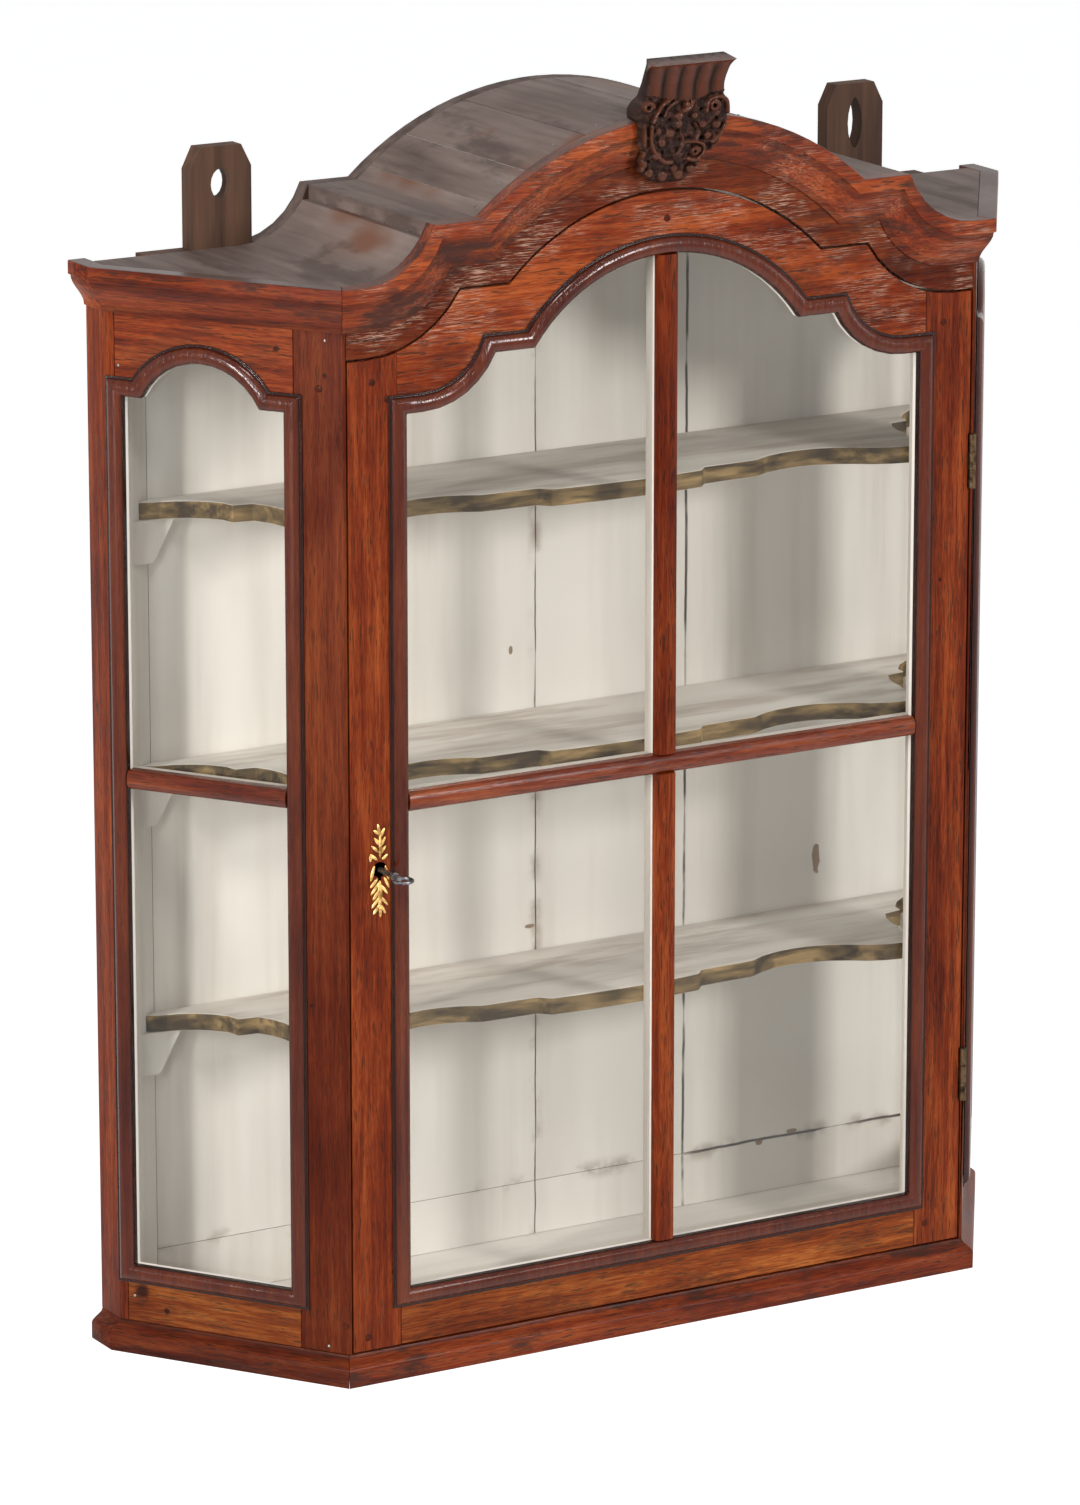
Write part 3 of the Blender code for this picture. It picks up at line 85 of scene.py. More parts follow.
# %% Lamps
# name, place, the point that it faces, width and height in metres, power in watts
LAMPS = (
    ("key_panel", (1.5, -4.0, 1.0), (0, 0, -0.5), (0.75, 1.1), 118),
    ("left_panel", (-2.8, -2.0, 0.5), (0, 0, -0.5), (0.6, 1.6), 24),
    ("left_strip", (-2.9, -1.14, 0.1), (0, 0, -0.5), (0.11, 1.3), 72),
    ("right_panel", (3.5, -2.2, -0.1), (-0.2, 0, -0.6), (1.0, 2.0), 20),
    ("top_panel", (-0.9, -1.7, 2.3), (0, 0, -0.2), (0.7, 0.4), 26),
)

for name, place, target, size, power in LAMPS:
    lamp = bpy.data.lights.new(name, "AREA")
    lamp.shape = "RECTANGLE"
    lamp.size, lamp.size_y = size
    lamp.energy = power
    holder = added(name, lamp)
    holder.location = place
    holder.rotation_euler = (Vector(target) - Vector(place)).to_track_quat("-Z", "Y").to_euler()
print("lamps", len(LAMPS))

# %% [markdown]
# ## Building node materials
#
# Every finish below is a small network of nodes. Writing each node out in full would hide the
# idea, so one helper makes a node, sets its options and joins or fills its inputs. The other
# helpers are the few steps that all the finishes share.

# %% Node helpers
class Coat:
    """A material under construction, with its shader and the turn and shift of its grain."""

    def __init__(self, name, turn=(0, 0, 0), shift=(0, 0, 0)):
        self.material = bpy.data.materials.new(name)
        self.material.use_nodes = True
        self.tree = self.material.node_tree
        self.shader = self.tree.nodes["Principled BSDF"]
        self.turn = turn
        self.shift = shift

    def put(self, socket, value):
        """Join a socket to another one, or give it a constant; a colour is opaque."""
        if isinstance(value, bpy.types.NodeSocket):
            self.tree.links.new(value, socket)
        else:
            socket.default_value = (*value, 1) if socket.type == "RGBA" else value

    def add(self, kind, inputs=(), **options):
        """A new node; inputs are filled by their number or name."""
        made = self.tree.nodes.new("ShaderNode" + kind)
        for name, value in options.items():
            setattr(made, name, value)
        for name, value in dict(inputs).items():
            self.put(made.inputs[name], value)
        return made

    def surface(self, **values):
        """Inputs of the Principled shader, with underscores for spaces."""
        for name, value in values.items():
            self.put(self.shader.inputs[name.replace("_", " ")], value)

    def where(self):
        """Object coordinates, which a piece takes along when it moves."""
        return self.add("TexCoord").outputs["Object"]

    def normal(self):
        """The direction that the surface faces."""
        return self.add("TexCoord").outputs["Normal"]

    def parts(self, vector):
        """X, Y and Z of a vector."""
        return self.add("SeparateXYZ", {0: vector}).outputs

    def speckle(self, where, scale, detail=3.0, rough=0.55, bend=0.0):
        """Noise from 0 to 1."""
        return self.add("TexNoise", {"Vector": where, "Scale": scale, "Detail": detail,
                                     "Roughness": rough, "Distortion": bend}).outputs["Fac"]

    def streaks(self, stretch, detail=4.0, rough=0.6, bend=0.0):
        """Noise stretched along the grain, which a first Mapping node turns to Z."""
        turned = self.add("Mapping", {"Vector": self.where(), "Rotation": self.turn,
                                      "Location": self.shift})
        drawn = self.add("Mapping", {"Vector": turned.outputs[0], "Scale": stretch})
        return self.speckle(drawn.outputs[0], 1.0, detail, rough, bend)

    def ramp(self, value, *stops):
        """Colours or greys at places from 0 to 1."""
        made = self.add("ValToRGB", {"Fac": value})
        band = made.color_ramp
        while len(band.elements) < len(stops):
            band.elements.new(0.5)
        for element, (place, colour) in zip(band.elements, stops):
            element.position = place
            grey = isinstance(colour, (int, float))
            element.color = (colour, colour, colour, 1) if grey else (*colour, 1)
        return made.outputs["Color"]

    def mask(self, value, low, high):
        """0 below low, 1 above high, smooth between; swapped limits turn it round."""
        made = self.add("MapRange", {"Value": value, "From Min": low, "From Max": high},
                        interpolation_type="SMOOTHSTEP")
        return made.outputs["Result"]

    def math(self, operation, a, b=0.0):
        return self.add("Math", {0: a, 1: b}, operation=operation).outputs[0]

    def times(self, a, b):
        return self.math("MULTIPLY", a, b)

    def less(self, a, b):
        return self.math("SUBTRACT", a, b)

    def most(self, a, b):
        return self.math("MAXIMUM", a, b)

    def weighted(self, *pairs):
        """The sum of values, each times its share."""
        total = 0.0
        for value, share in pairs:
            total = self.math("ADD", self.times(value, share), total)
        return total

    def vector(self, operation, a, b=(0, 0, 0)):
        """A step on vectors, which gives a vector or a number."""
        made = self.add("VectorMath", {0: a, 1: b}, operation=operation)
        return made.outputs[1 if operation in ("DOT_PRODUCT", "DISTANCE", "LENGTH") else 0]

    def blend(self, share, below, above, mode="MIX"):
        """One colour over another."""
        colours = {0: share, 6: below, 7: above}
        return self.add("Mix", colours, data_type="RGBA", blend_type=mode).outputs[2]

    def cover(self, below, above, mask, strength):
        """A colour laid over another where a mask is 1, to this strength."""
        return self.blend(self.times(mask, strength), below, above)

    def done(self, colour, dull, sheen, relief, depth, bump):
        """Join what was worked out to the shader, and give the material."""
        raised = self.add("Bump", {"Height": relief, "Distance": depth, "Strength": bump})
        self.surface(Base_Color=colour, Roughness=dull, Specular_IOR_Level=sheen,
                     Normal=raised.outputs["Normal"])
        return self.material


# %% [markdown]
# ## White surroundings
#
# The cabinet hangs clear of the floor, as it does on a wall. The world and the floor are white
# where the camera, a reflection or the glass sees them. All other rays meet a darker world and
# plain paper, which gives the object a softer light.

# %% World and floor
HANG_HEIGHT = 0.965
FLOOR_DEPTH = 1.1
FLOOR_SIZE = 14
FLOOR_GLOW = 0.62
PAPER = (0.93, 0.93, 0.92)
WHITE = (1, 1, 1)
WHITE_STRENGTH = 1.04
SOFT_WHITE = (0.97, 0.98, 1.0)
SOFT_STRENGTH = 0.36
SHARP_ANGLE = math.radians(50)


def seen_rays(tree):
    """1 for rays that come from the camera, from a mirror or through glass."""
    rays = tree.nodes.new("ShaderNodeLightPath")
    seen = rays.outputs["Is Camera Ray"]
    for name in ("Is Glossy Ray", "Is Transmission Ray"):
        both = tree.nodes.new("ShaderNodeMath")
        both.operation = "MAXIMUM"
        tree.links.new(seen, both.inputs[0])
        tree.links.new(rays.outputs[name], both.inputs[1])
        seen = both.outputs[0]
    return seen


def hang(name, shaped, material):
    """A finished piece from a bmesh, smooth except at its sharp edges."""
    mesh = bpy.data.meshes.new(name)
    shaped.to_mesh(mesh)
    shaped.free()
    mesh.shade_smooth()
    mesh.set_sharp_from_angle(angle=SHARP_ANGLE)
    mesh.materials.append(material)
    return added(name, mesh)


world = bpy.data.worlds.new("studio")
bpy.context.scene.world = world
world.use_nodes = True
backdrop = world.node_tree
soft = backdrop.nodes["Background"]
white = backdrop.nodes.new("ShaderNodeBackground")
for part, colour, strength in ((soft, SOFT_WHITE, SOFT_STRENGTH), (white, WHITE, WHITE_STRENGTH)):
    part.inputs["Color"].default_value = (*colour, 1)
    part.inputs["Strength"].default_value = strength
either = backdrop.nodes.new("ShaderNodeMixShader")
for number, output in enumerate((seen_rays(backdrop), soft.outputs[0], white.outputs[0])):
    backdrop.links.new(output, either.inputs[number])
backdrop.links.new(either.outputs[0], backdrop.nodes["World Output"].inputs["Surface"])

paper = Coat("pale_floor")
glow = paper.times(seen_rays(paper.tree), FLOOR_GLOW)
paper.surface(Base_Color=PAPER, Roughness=0.9, Emission_Color=WHITE, Emission_Strength=glow)
sheet = bmesh.new()
bmesh.ops.create_grid(sheet, x_segments=1, y_segments=1, size=FLOOR_SIZE,
                      matrix=Matrix.Translation((0, 0, -HANG_HEIGHT - FLOOR_DEPTH)))
floor = hang("floor", sheet, paper.material)
bpy.context.scene.view_settings.view_transform = "Standard"
print("floor", FLOOR_DEPTH, "m below the cabinet")

# %% [markdown]
# ## Which side is painted
#
# The outside is varnished and the inside is painted off-white, and the change comes where the
# glass sits. That could be done with separate faces, but the boundary is simply a depth behind
# the outer face. So the material measures how far a point lies behind a plane, and paints what
# is deeper than the glass.

# %% Depth behind the faces
BODY_HALF_WIDTH = 0.420
RETURN_DEPTH = 0.033
BODY_DEPTH = 0.210
FRONT_HALF_WIDTH = 0.300
GLASS_DEPTH = 0.0098
EDGE_SOFTNESS = 0.0008
CANT = Vector((BODY_HALF_WIDTH - FRONT_HALF_WIDTH, BODY_DEPTH - RETURN_DEPTH)).normalized()
CANT_ANGLE = math.atan2(CANT.x, CANT.y)
# a plane is an inward direction and a point where the depth is 0
FRONT = (0, 1, 0), (0, -BODY_DEPTH, 0)
WALL = (0, -1, 0), (0, 0, 0)


def behind_cant(side):
    return (-side * CANT.y, CANT.x, 0), (side * BODY_HALF_WIDTH, -RETURN_DEPTH, 0)


def behind_return(side):
    return (-side, 0, 0), (side * BODY_HALF_WIDTH, 0, 0)


def deeper(coat, plane, depth):
    """1 where a point is deeper than this behind a plane."""
    direction, point = plane
    away = coat.vector("SUBTRACT", coat.where(), point)
    reach = coat.vector("DOT_PRODUCT", away, direction)
    return coat.mask(reach, depth - EDGE_SOFTNESS / 2, depth + EDGE_SOFTNESS / 2)


def painted_where(coat, planes):
    """1 where a point is deep behind every plane of a list of (plane, depth)."""
    share = 1.0
    for plane, depth in planes:
        share = coat.times(deeper(coat, plane, depth), share)
    return share


print("cant at", round(math.degrees(CANT_ANGLE), 1), "degrees to the side")

# %% [markdown]
# ## Chalky paint
#
# The inside is brushed with thin off-white paint that has greyed in long streaks along the
# boards. One noise is stretched along the grain for the streaks, and a finer one for the marks
# of the brush. The same paint is on the back and on the inner sides of the oak frame.

# %% Paint
PAINT_LIGHT = (0.690, 0.640, 0.590)
PAINT_MID = (0.620, 0.565, 0.512)
PAINT_GREY = (0.455, 0.405, 0.365)
PAINT_BROWN = (0.16, 0.085, 0.035)
LONG_STREAKS = (7, 7, 0.9)
SHORT_STREAKS = (60, 60, 3)


def paint_colour(coat):
    """Off-white with greyer streaks along the grain."""
    both = coat.weighted((coat.streaks(LONG_STREAKS), 0.75),
                         (coat.streaks(SHORT_STREAKS, detail=3.0), 0.25))
    return coat.ramp(both, (0.34, PAINT_GREY), (0.46, PAINT_MID), (0.58, PAINT_LIGHT))


# %% [markdown]
# ## Varnished oak
#
# Oak shows three things at once: broad bands of early and late wood, short dark pores, and a
# slow change of tone where the varnish is thicker. Each is a noise, stretched along the grain by
# its Mapping node, and they are added in that order. Age adds dark smudges where dust has caked
# in the hollows, pale scratches where the grain was rubbed open, and black knots. Painted shade
# darkens the flanks of the round beads and the rim where a bead meets the frame, and a dark line
# wherever a moulding meets the frame is partly painted shade and partly dirt.

# %% Oak colours, knots and the direction of the grain
OAK_DARK = (0.036, 0.0050, 0.0020)
OAK_MID = (0.128, 0.0170, 0.0034)
OAK_LIGHT = (0.260, 0.0540, 0.0120)
OAK_PORE_AND_SHADE = (0.012, 0.0030, 0.0020)
OAK_WORN = (0.440, 0.280, 0.200)
OAK_SMUDGE = (0.030, 0.0095, 0.0060)
TOP_DUST = (0.085, 0.056, 0.046)
PAINT_SHEEN = (0.75, 0.75, 0.75)
CLOUD_TONES = ((0.32, (0.66, 0.56, 0.54)), (0.50, (1, 1, 1)), (0.68, (1.18, 1.28, 1.26)))
# x, y, height over the base and radius in millimetres
KNOTS = {
    "door_stile_left": ((-248.5, -210, 648.4, 3.4), (-248.8, -210, 526.2, 2.8),
                        (-251.8, -210, 408.5, 3.2), (-253, -210, 768, 2.4), (-258, -210, 90, 2.6)),
    "door_stile_right": ((268, -210, 610, 2.4), (259, -210, 300, 2.6)),
    "stile_left": ((-322, -177.5, 798.4, 3.6), (-309, -196.7, 842, 3), (-318, -183.4, 320, 2.4)),
    "cant_foot_left": ((-408, -50.7, 52, 9), (-395, -69.9, 38, 4)),
    "cant_top_left": ((-402, -59.5, 806, 5), (-333, -161.3, 860, 4)),
    "door_top_rail": ((118, -210, 872, 3.2),),
    "cornice_front": ((-172, -216, 944, 6),),
}
KNOT_CORE = 0.35
GRAIN_UP = (0, 0, 0)


def grain(direction):
    """The turn of a Mapping node that brings this direction to Z."""
    return tuple(Vector(direction).rotation_difference(Vector((0, 0, 1))).to_euler())


ALONG_X = grain((1, 0, 0))
ALONG_Y = grain((0, 1, 0))


def along_cant(side):
    """The level direction of a cant, from its rear to the front."""
    return grain((-side * CANT.x, -CANT.y, 0))


def over_base(x, y, z):
    """A point in metres, from millimetres with the height counted from the base."""
    return Vector((x / 1000, y / 1000, z / 1000 - HANG_HEIGHT))


def knots_of(coat, piece):
    """1 on the knots and filled holes of a piece."""
    where = coat.where()
    ragged = coat.speckle(where, 260.0, 3.0, 0.6)
    share = 0.0
    for x, y, z, radius in KNOTS.get(piece, ()):
        off = coat.vector("DISTANCE", where, over_base(x, y, z))
        off = coat.times(off, coat.math("ADD", ragged, 0.5))
        knot = coat.mask(off, radius / 1000, KNOT_CORE * radius / 1000)
        share = coat.most(knot, share)
    return share


print("knots", sum(len(places) for places in KNOTS.values()))

# %% [markdown]
# ## The finish of the oak
#
# The layers come in this order: the wood, the marks of use, the painted shade on beads and
# grooves, with dirt in the grooves and dust on top, and then the paint of the inside.

# %% Oak
# stretch, detail, roughness and distortion of the noises
BAND = ((170, 170, 7), 5.0, 0.7, 0.3)
LINE = ((560, 560, 42), 2.0, 0.6)
BROAD = ((22, 22, 3), 4.0, 0.6, 0.6)
CLOUD = ((6, 6, 4), 4.0, 0.6)
SCRATCH = ((1200, 1200, 52), 3.0, 0.7)
PATCH = ((26, 26, 16), 3.0, 0.6)
CAKED = ((34, 34, 13), 4.0, 0.65)
MIDDLE_TONE = 0.485
TONE_SPREAD = 0.115
LOW_RELIEF = -0.0019
GRAIN_RELIEF = 0.00016
END_FADE = 0.001


def wood(coat, tone, tint, figure):
    """The colour of the wood, its slow clouds and the height of its grain."""
    band, line, broad, cloud = [coat.streaks(*kind) for kind in (BAND, LINE, BROAD, CLOUD)]
    tones = coat.weighted((band, 0.40), (line, 0.32), (broad, 0.28))
    spread = TONE_SPREAD / figure
    base = coat.ramp(tones, (MIDDLE_TONE - spread, OAK_DARK), (0.48, OAK_MID),
                     (MIDDLE_TONE + spread, OAK_LIGHT))
    pores = coat.mask(line, 0.54, 0.66)
    base = coat.cover(base, OAK_PORE_AND_SHADE, pores, 0.75 * figure)
    shades = [(place, [tone * part * hue for part, hue in zip(parts, tint)])
              for place, parts in CLOUD_TONES]
    base = coat.blend(1.0, base, coat.ramp(cloud, *shades), "MULTIPLY")
    return base, cloud, coat.less(coat.times(band, 0.5), pores)


def wear(coat, base, worn, smudge, piece):
    """Pale scratches, caked dirt and knots."""
    if worn:
        rubbed = coat.times(coat.mask(coat.streaks(*SCRATCH), 0.50, 0.62),
                            coat.mask(coat.streaks(*PATCH), 0.46, 0.62))
        base = coat.cover(base, OAK_WORN, rubbed, worn)
    if smudge:
        caked = coat.mask(coat.streaks(*CAKED), 0.50, 0.64)
        base = coat.cover(base, OAK_SMUDGE, caked, smudge)
    if piece in KNOTS:
        base = coat.cover(base, OAK_PORE_AND_SHADE, knots_of(coat, piece), 0.9)
    return base


def painted_shade_and_dust(coat, base, crown, rim, lines, dust):
    """Painted shade on beads, painted shade and dirt in grooves, and dust on what faces up."""
    # painted shade: the flanks of a round bead, which face away from its crown, are darkened
    if crown:
        level = coat.vector("DOT_PRODUCT", coat.normal(), crown)
        base = coat.cover(base, OAK_PORE_AND_SHADE, coat.mask(level, 0.80, 0.25), 0.85)
    # painted shade: the low relief where a bead meets the frame is darkened
    if rim:
        base = coat.cover(base, OAK_PORE_AND_SHADE, deeper(coat, rim, LOW_RELIEF), 0.92)
    # partly painted shade and partly dirt: dark lines in the grooves of the mouldings
    for plane, outer, inner in lines:
        groove = coat.less(deeper(coat, plane, -outer), deeper(coat, plane, -inner))
        base = coat.cover(base, OAK_PORE_AND_SHADE, groove, 0.42)
    if dust:
        upper = coat.mask(coat.parts(coat.normal())["Z"], 0.75, 0.95)
        base = coat.cover(base, TOP_DUST, upper, dust)
    return base


def oak(name, turn, shift=(0, 0, 0), planes=None, tone=1.0, tint=(1, 1, 1), worn=0.0, gloss=0.34,
        sheen=0.08, crown=None, rim=None, lines=(), smudge=0.0, figure=1.0, dust=0.0,
        paint_top=None, piece=None):
    """Red-brown varnished oak with its grain along one direction."""
    coat = Coat(name, turn, shift)
    base, cloud, relief = wood(coat, tone, tint, figure)
    base = wear(coat, base, worn, smudge, piece)
    base = painted_shade_and_dust(coat, base, crown, rim, lines, dust)
    dull = coat.ramp(cloud, (0.35, gloss - 0.06), (0.65, gloss + 0.12))
    if planes:
        inside = painted_where(coat, planes)
        if paint_top is not None:
            height = coat.parts(coat.where())["Z"]
            inside = coat.times(inside, coat.mask(height, paint_top, paint_top - END_FADE))
        base = coat.blend(inside, base, paint_colour(coat))
        dull = coat.blend(inside, dull, PAINT_SHEEN)
    return coat.done(base, dull, sheen, relief, depth=GRAIN_RELIEF, bump=0.7)


# %% [markdown]
# ## Dressing the joinery
#
# The solids from the CAD model have sharp edges, and a sharp edge catches no light. So each
# piece is welded, its flat areas are merged, its edges are eased by about a millimetre or less,
# and the shading follows the large faces. Every board has its own shift of the pattern, so that
# no grain runs on into the next.

# %% Eased edges
EASE = 0.0007
EASE_STEPS = 2
SMOOTH_ANGLE = math.radians(38)
FLAT_ANGLE = math.radians(0.5)
MERGE_WITHIN = 0.00001
board_count = 0


def ease(piece, width):
    """Weld, merge flat areas, round the edges and shade by the large faces."""
    weld = piece.modifiers.new("Weld", "WELD")
    weld.merge_threshold = MERGE_WITHIN
    flat = piece.modifiers.new("Flat", "DECIMATE")
    flat.decimate_type = "DISSOLVE"
    flat.angle_limit = FLAT_ANGLE
    edge = piece.modifiers.new("Ease", "BEVEL")
    edge.width = width
    edge.segments = EASE_STEPS
    edge.limit_method = "ANGLE"
    edge.angle_limit = SMOOTH_ANGLE
    edge.use_clamp_overlap = True
    shading = piece.modifiers.new("Shading", "WEIGHTED_NORMAL")
    shading.keep_sharp = False


def dress(name, material, width=EASE):
    """Give a CAD node its finish and eased edges."""
    piece = nodes[name]
    piece.data.materials.clear()
    piece.data.materials.append(material)
    if width:
        ease(piece, width)


def next_shift():
    """A new place in the pattern for each board."""
    global board_count
    board_count += 1
    return (0.37 * board_count, 0.61 * board_count, 1.13 * board_count)


def dress_oak(names, turn, planes=None, **looks):
    for name in names.split():
        dress(name, oak(f"oak_{name}", turn, next_shift(), planes, piece=name, **looks))


# %% [markdown]
# ## Every board its own tone
#
# None of the boards has quite the tone of the next. The foot rails are blonder than the stiles,
# the round beads and bars shine more, and the mouldings are smudged and dusty.

# %% Dress the oak frame
ROUND_GLOSS = {"gloss": 0.15, "sheen": 0.24}
BLOND = (1.05, 1.55, 1.45)
TO_ROOM = (0, -1, 0)
BEAD_PAINT = 0.0030
BAR_PAINT = GLASS_DEPTH - 0.005
RETURN_PAINT = 0.006
WALL_PAINT = 0.0005
# the end grain of the posts under the roof is bare
PAINT_TOP = -0.0640
# grooves of the mouldings, darkened with painted shade and dirt, as the range of their
# distance out of the frame
UNDER_FASCIA = (0.0139, 0.0122)
ABOVE_FRIEZE = (0.0032, 0.0010)
ABOVE_BASE = (0.0016, -0.0010)

door_inside = [(FRONT, GLASS_DEPTH)]
dress_oak("door_stile_left door_stile_right", GRAIN_UP, door_inside, tone=0.92)
dress_oak("door_bar_upright", GRAIN_UP, [(FRONT, BAR_PAINT)], tone=0.9)
dress_oak("door_foot_rail", ALONG_X, door_inside, tone=1.3, tint=BLOND, smudge=0.4)
dress_oak("door_top_rail", ALONG_X, door_inside, tone=1.06, worn=0.5, smudge=0.5)
dress_oak("frieze", ALONG_X, door_inside, tone=0.62, worn=0.7, smudge=0.6)
dress_oak("door_bar_level", ALONG_X, door_inside, tone=0.8, **ROUND_GLOSS)
# the door bead gets painted shade on its flanks and where it meets the frame
dress_oak("door_bead", GRAIN_UP, [(FRONT, BEAD_PAINT)], tone=0.52, crown=TO_ROOM, rim=FRONT,
          figure=0.6, **ROUND_GLOSS)
dress_oak("cornice_front", ALONG_X, tone=1.1, worn=0.32, sheen=0.12, smudge=0.85, dust=0.6,
          lines=((FRONT, *UNDER_FASCIA), (FRONT, *ABOVE_FRIEZE)))
dress_oak("base_front", ALONG_X, tone=0.9, sheen=0.12, smudge=0.9, lines=((FRONT, *ABOVE_BASE),))

for side, name in ((-1, "left"), (1, "right")):
    cant = behind_cant(side)
    level = along_cant(side)
    outwards = (side * CANT.y, -CANT.x, 0)
    cant_inside = [(cant, GLASS_DEPTH)]
    corner_inside = cant_inside + door_inside
    post_inside = cant_inside + [(behind_return(side), RETURN_PAINT), (WALL, WALL_PAINT)]
    dress_oak(f"post_{name}", GRAIN_UP, post_inside, tone=0.9, paint_top=PAINT_TOP)
    dress_oak(f"stile_{name}", GRAIN_UP, corner_inside, tone=0.60, figure=0.8, paint_top=PAINT_TOP)
    dress_oak(f"cant_top_{name}", level, cant_inside, smudge=0.35)
    dress_oak(f"cant_foot_{name}", level, cant_inside, tone=0.95, tint=BLOND, smudge=0.3)
    dress_oak(f"cant_bar_{name}", level, cant_inside, tone=0.75, **ROUND_GLOSS)
    # the cant bead gets painted shade on its flanks and where it meets the frame
    dress_oak(f"cant_bead_{name}", GRAIN_UP, [(cant, BEAD_PAINT)], tone=0.48, crown=outwards,
              rim=cant, figure=0.6, **ROUND_GLOSS)
    dress_oak(f"cornice_{name}", level, sheen=0.12, smudge=0.85, dust=0.9,
              lines=((cant, *UNDER_FASCIA), (cant, *ABOVE_FRIEZE)))
    dress_oak(f"base_{name}", level, tone=0.56, sheen=0.1, smudge=0.7, lines=((cant, *ABOVE_BASE),))
print("oak pieces", board_count)

# %% [markdown]
# ## The back
#
# The planks of the back are painted on the side that faces the room and left bare at the wall,
# and their two hanging ears are stained brown. The open seams between the planks collect dirt,
# so a dark line with a brown halo follows them. The paint ends at the boards of the roof, along
# a line of level ends, steps and an arch.

# %% Back planks
SEAMS = (-0.010, 0.138)
RAIL_SEAM = -0.892
RUST_START = 0.140
# bare spots of the paint, with x, z, half width and half height
SCARS = ((0.272, -0.644, 0.0042, 0.0150), (0.216, -0.894, 0.0040, 0.0030),
         (0.250, -0.889, 0.0060, 0.0022), (-0.034, -0.420, 0.0020, 0.0040),
         (-0.016, -0.664, 0.0050, 0.0022))
ROOF_UNDERSIDE = -0.0635
STEP_UNDERSIDE = -0.019
STEP_END = 0.224
ARCH_MIDDLE = -0.2051
ARCH_UNDERSIDE = 0.2548
ARCH_END = 0.182
EAR_START = 0.274
ROOF_GREY = (0.126, 0.089, 0.075)
ROOF_DARK = (0.048, 0.030, 0.025)
STAIN_DARK = (0.028, 0.0130, 0.0085)
STAIN_MID = (0.082, 0.040, 0.023)
BARE_OAK = (0.24, 0.15, 0.085)
PLANK_EASE = 0.00025


def line_at(coat, value, centre, half, soft_edge):
    """1 on a line of this half width round a coordinate."""
    off = coat.math("ABSOLUTE", coat.less(value, centre))
    return coat.mask(off, half + soft_edge, half)


def wander(coat, value, where, reach):
    """A coordinate that strays a little, so that a line along it looks broken."""
    stray = coat.speckle(where, 9.0, 4.0, 0.7)
    return coat.math("ADD", value, coat.times(coat.less(stray, 0.5), reach))


def seam_marks(coat, where, part):
    """1 on the dirt of the seams, and 1 on the brown halo beside it."""
    x = wander(coat, part["X"], where, 0.0045)
    z = wander(coat, part["Z"], where, 0.006)
    seams = coat.most(line_at(coat, x, SEAMS[0], 0.0002, 0.0008),
                      line_at(coat, x, SEAMS[1], 0.0008, 0.0009))
    rail = coat.times(line_at(coat, z, RAIL_SEAM, 0.0005, 0.0014),
                      coat.mask(part["X"], RUST_START - 0.002, RUST_START))
    broken = coat.mask(coat.speckle(where, 14.0, 3.0, 0.6), 0.34, 0.50)
    halo = coat.most(line_at(coat, x, SEAMS[0], 0.0, 0.010), line_at(coat, z, RAIL_SEAM, 0.0, 0.012))
    grime = coat.mask(coat.speckle(where, 26.0, 4.0, 0.65), 0.48, 0.70)
    return coat.times(coat.most(seams, rail), broken), coat.times(halo, grime)


def scarred(coat, where, colour):
    """The colour with its bare spots."""
    ragged = coat.speckle(where, 150.0, 2.0, 0.6)
    for x, z, half_width, half_height in SCARS:
        away = coat.vector("SUBTRACT", where, (x, 0, z))
        away = coat.vector("MULTIPLY", away, (1 / half_width, 0, 1 / half_height))
        reach = coat.times(coat.vector("LENGTH", away), coat.math("ADD", ragged, 0.5))
        colour = coat.cover(colour, BARE_OAK, coat.mask(reach, 1.0, 0.8), 0.95)
    return colour


def under_roof(coat, aside, height):
    """1 on what lies below the boards of the roof."""
    def short_of(value, limit):
        return coat.mask(value, limit + END_FADE, limit)

    step = coat.times(short_of(height, STEP_UNDERSIDE), short_of(aside, STEP_END))
    rise = coat.less(height, ARCH_MIDDLE)
    spread = coat.math("ADD", coat.times(rise, rise), coat.times(aside, aside))
    arch = coat.times(short_of(coat.math("SQRT", spread), ARCH_UNDERSIDE), short_of(aside, ARCH_END))
    return coat.most(short_of(height, ROOF_UNDERSIDE), coat.most(step, arch))


def plank_finish(name, shift):
    """Painted inside, stained on the ears, bare at the wall and grey on top."""
    coat = Coat(name, GRAIN_UP, shift)
    where = coat.where()
    part = coat.parts(where)
    facing = coat.parts(coat.normal())
    aside = coat.math("ABSOLUTE", part["X"])
    dirt, halo = seam_marks(coat, where, part)
    paint = coat.cover(paint_colour(coat), PAINT_BROWN, halo, 0.55)
    paint = scarred(coat, where, coat.cover(paint, STAIN_DARK, dirt, 0.9))

    streak = coat.streaks(SHORT_STREAKS)
    stain = coat.ramp(streak, (0.35, STAIN_DARK), (0.65, STAIN_MID))
    dusty = coat.ramp(streak, (0.35, ROOF_DARK), (0.65, ROOF_GREY))
    bare = coat.blend(streak, STAIN_MID, BARE_OAK)
    on_top = coat.times(coat.mask(facing["Z"], 0.15, 0.35),
                        coat.mask(aside, EAR_START, EAR_START - 0.002))
    to_wall = coat.mask(facing["Y"], 0.4, 0.6)
    to_room = coat.mask(facing["Y"], -0.4, -0.6)
    rest = coat.blend(to_wall, coat.blend(on_top, stain, dusty), bare)
    inside = coat.times(to_room, under_roof(coat, aside, part["Z"]))
    colour = coat.blend(inside, rest, paint)
    brushed = coat.less(coat.times(coat.streaks((240, 240, 5), detail=3.0), 0.4), dirt)
    return coat.done(colour, dull=0.72, sheen=0.2, relief=brushed, depth=0.0005, bump=0.6)


for name in ("back_plank_left", "back_plank_middle", "back_plank_right", "back_rail"):
    dress(name, plank_finish(f"paint_{name}", next_shift()), PLANK_EASE)
print("back pieces dressed")

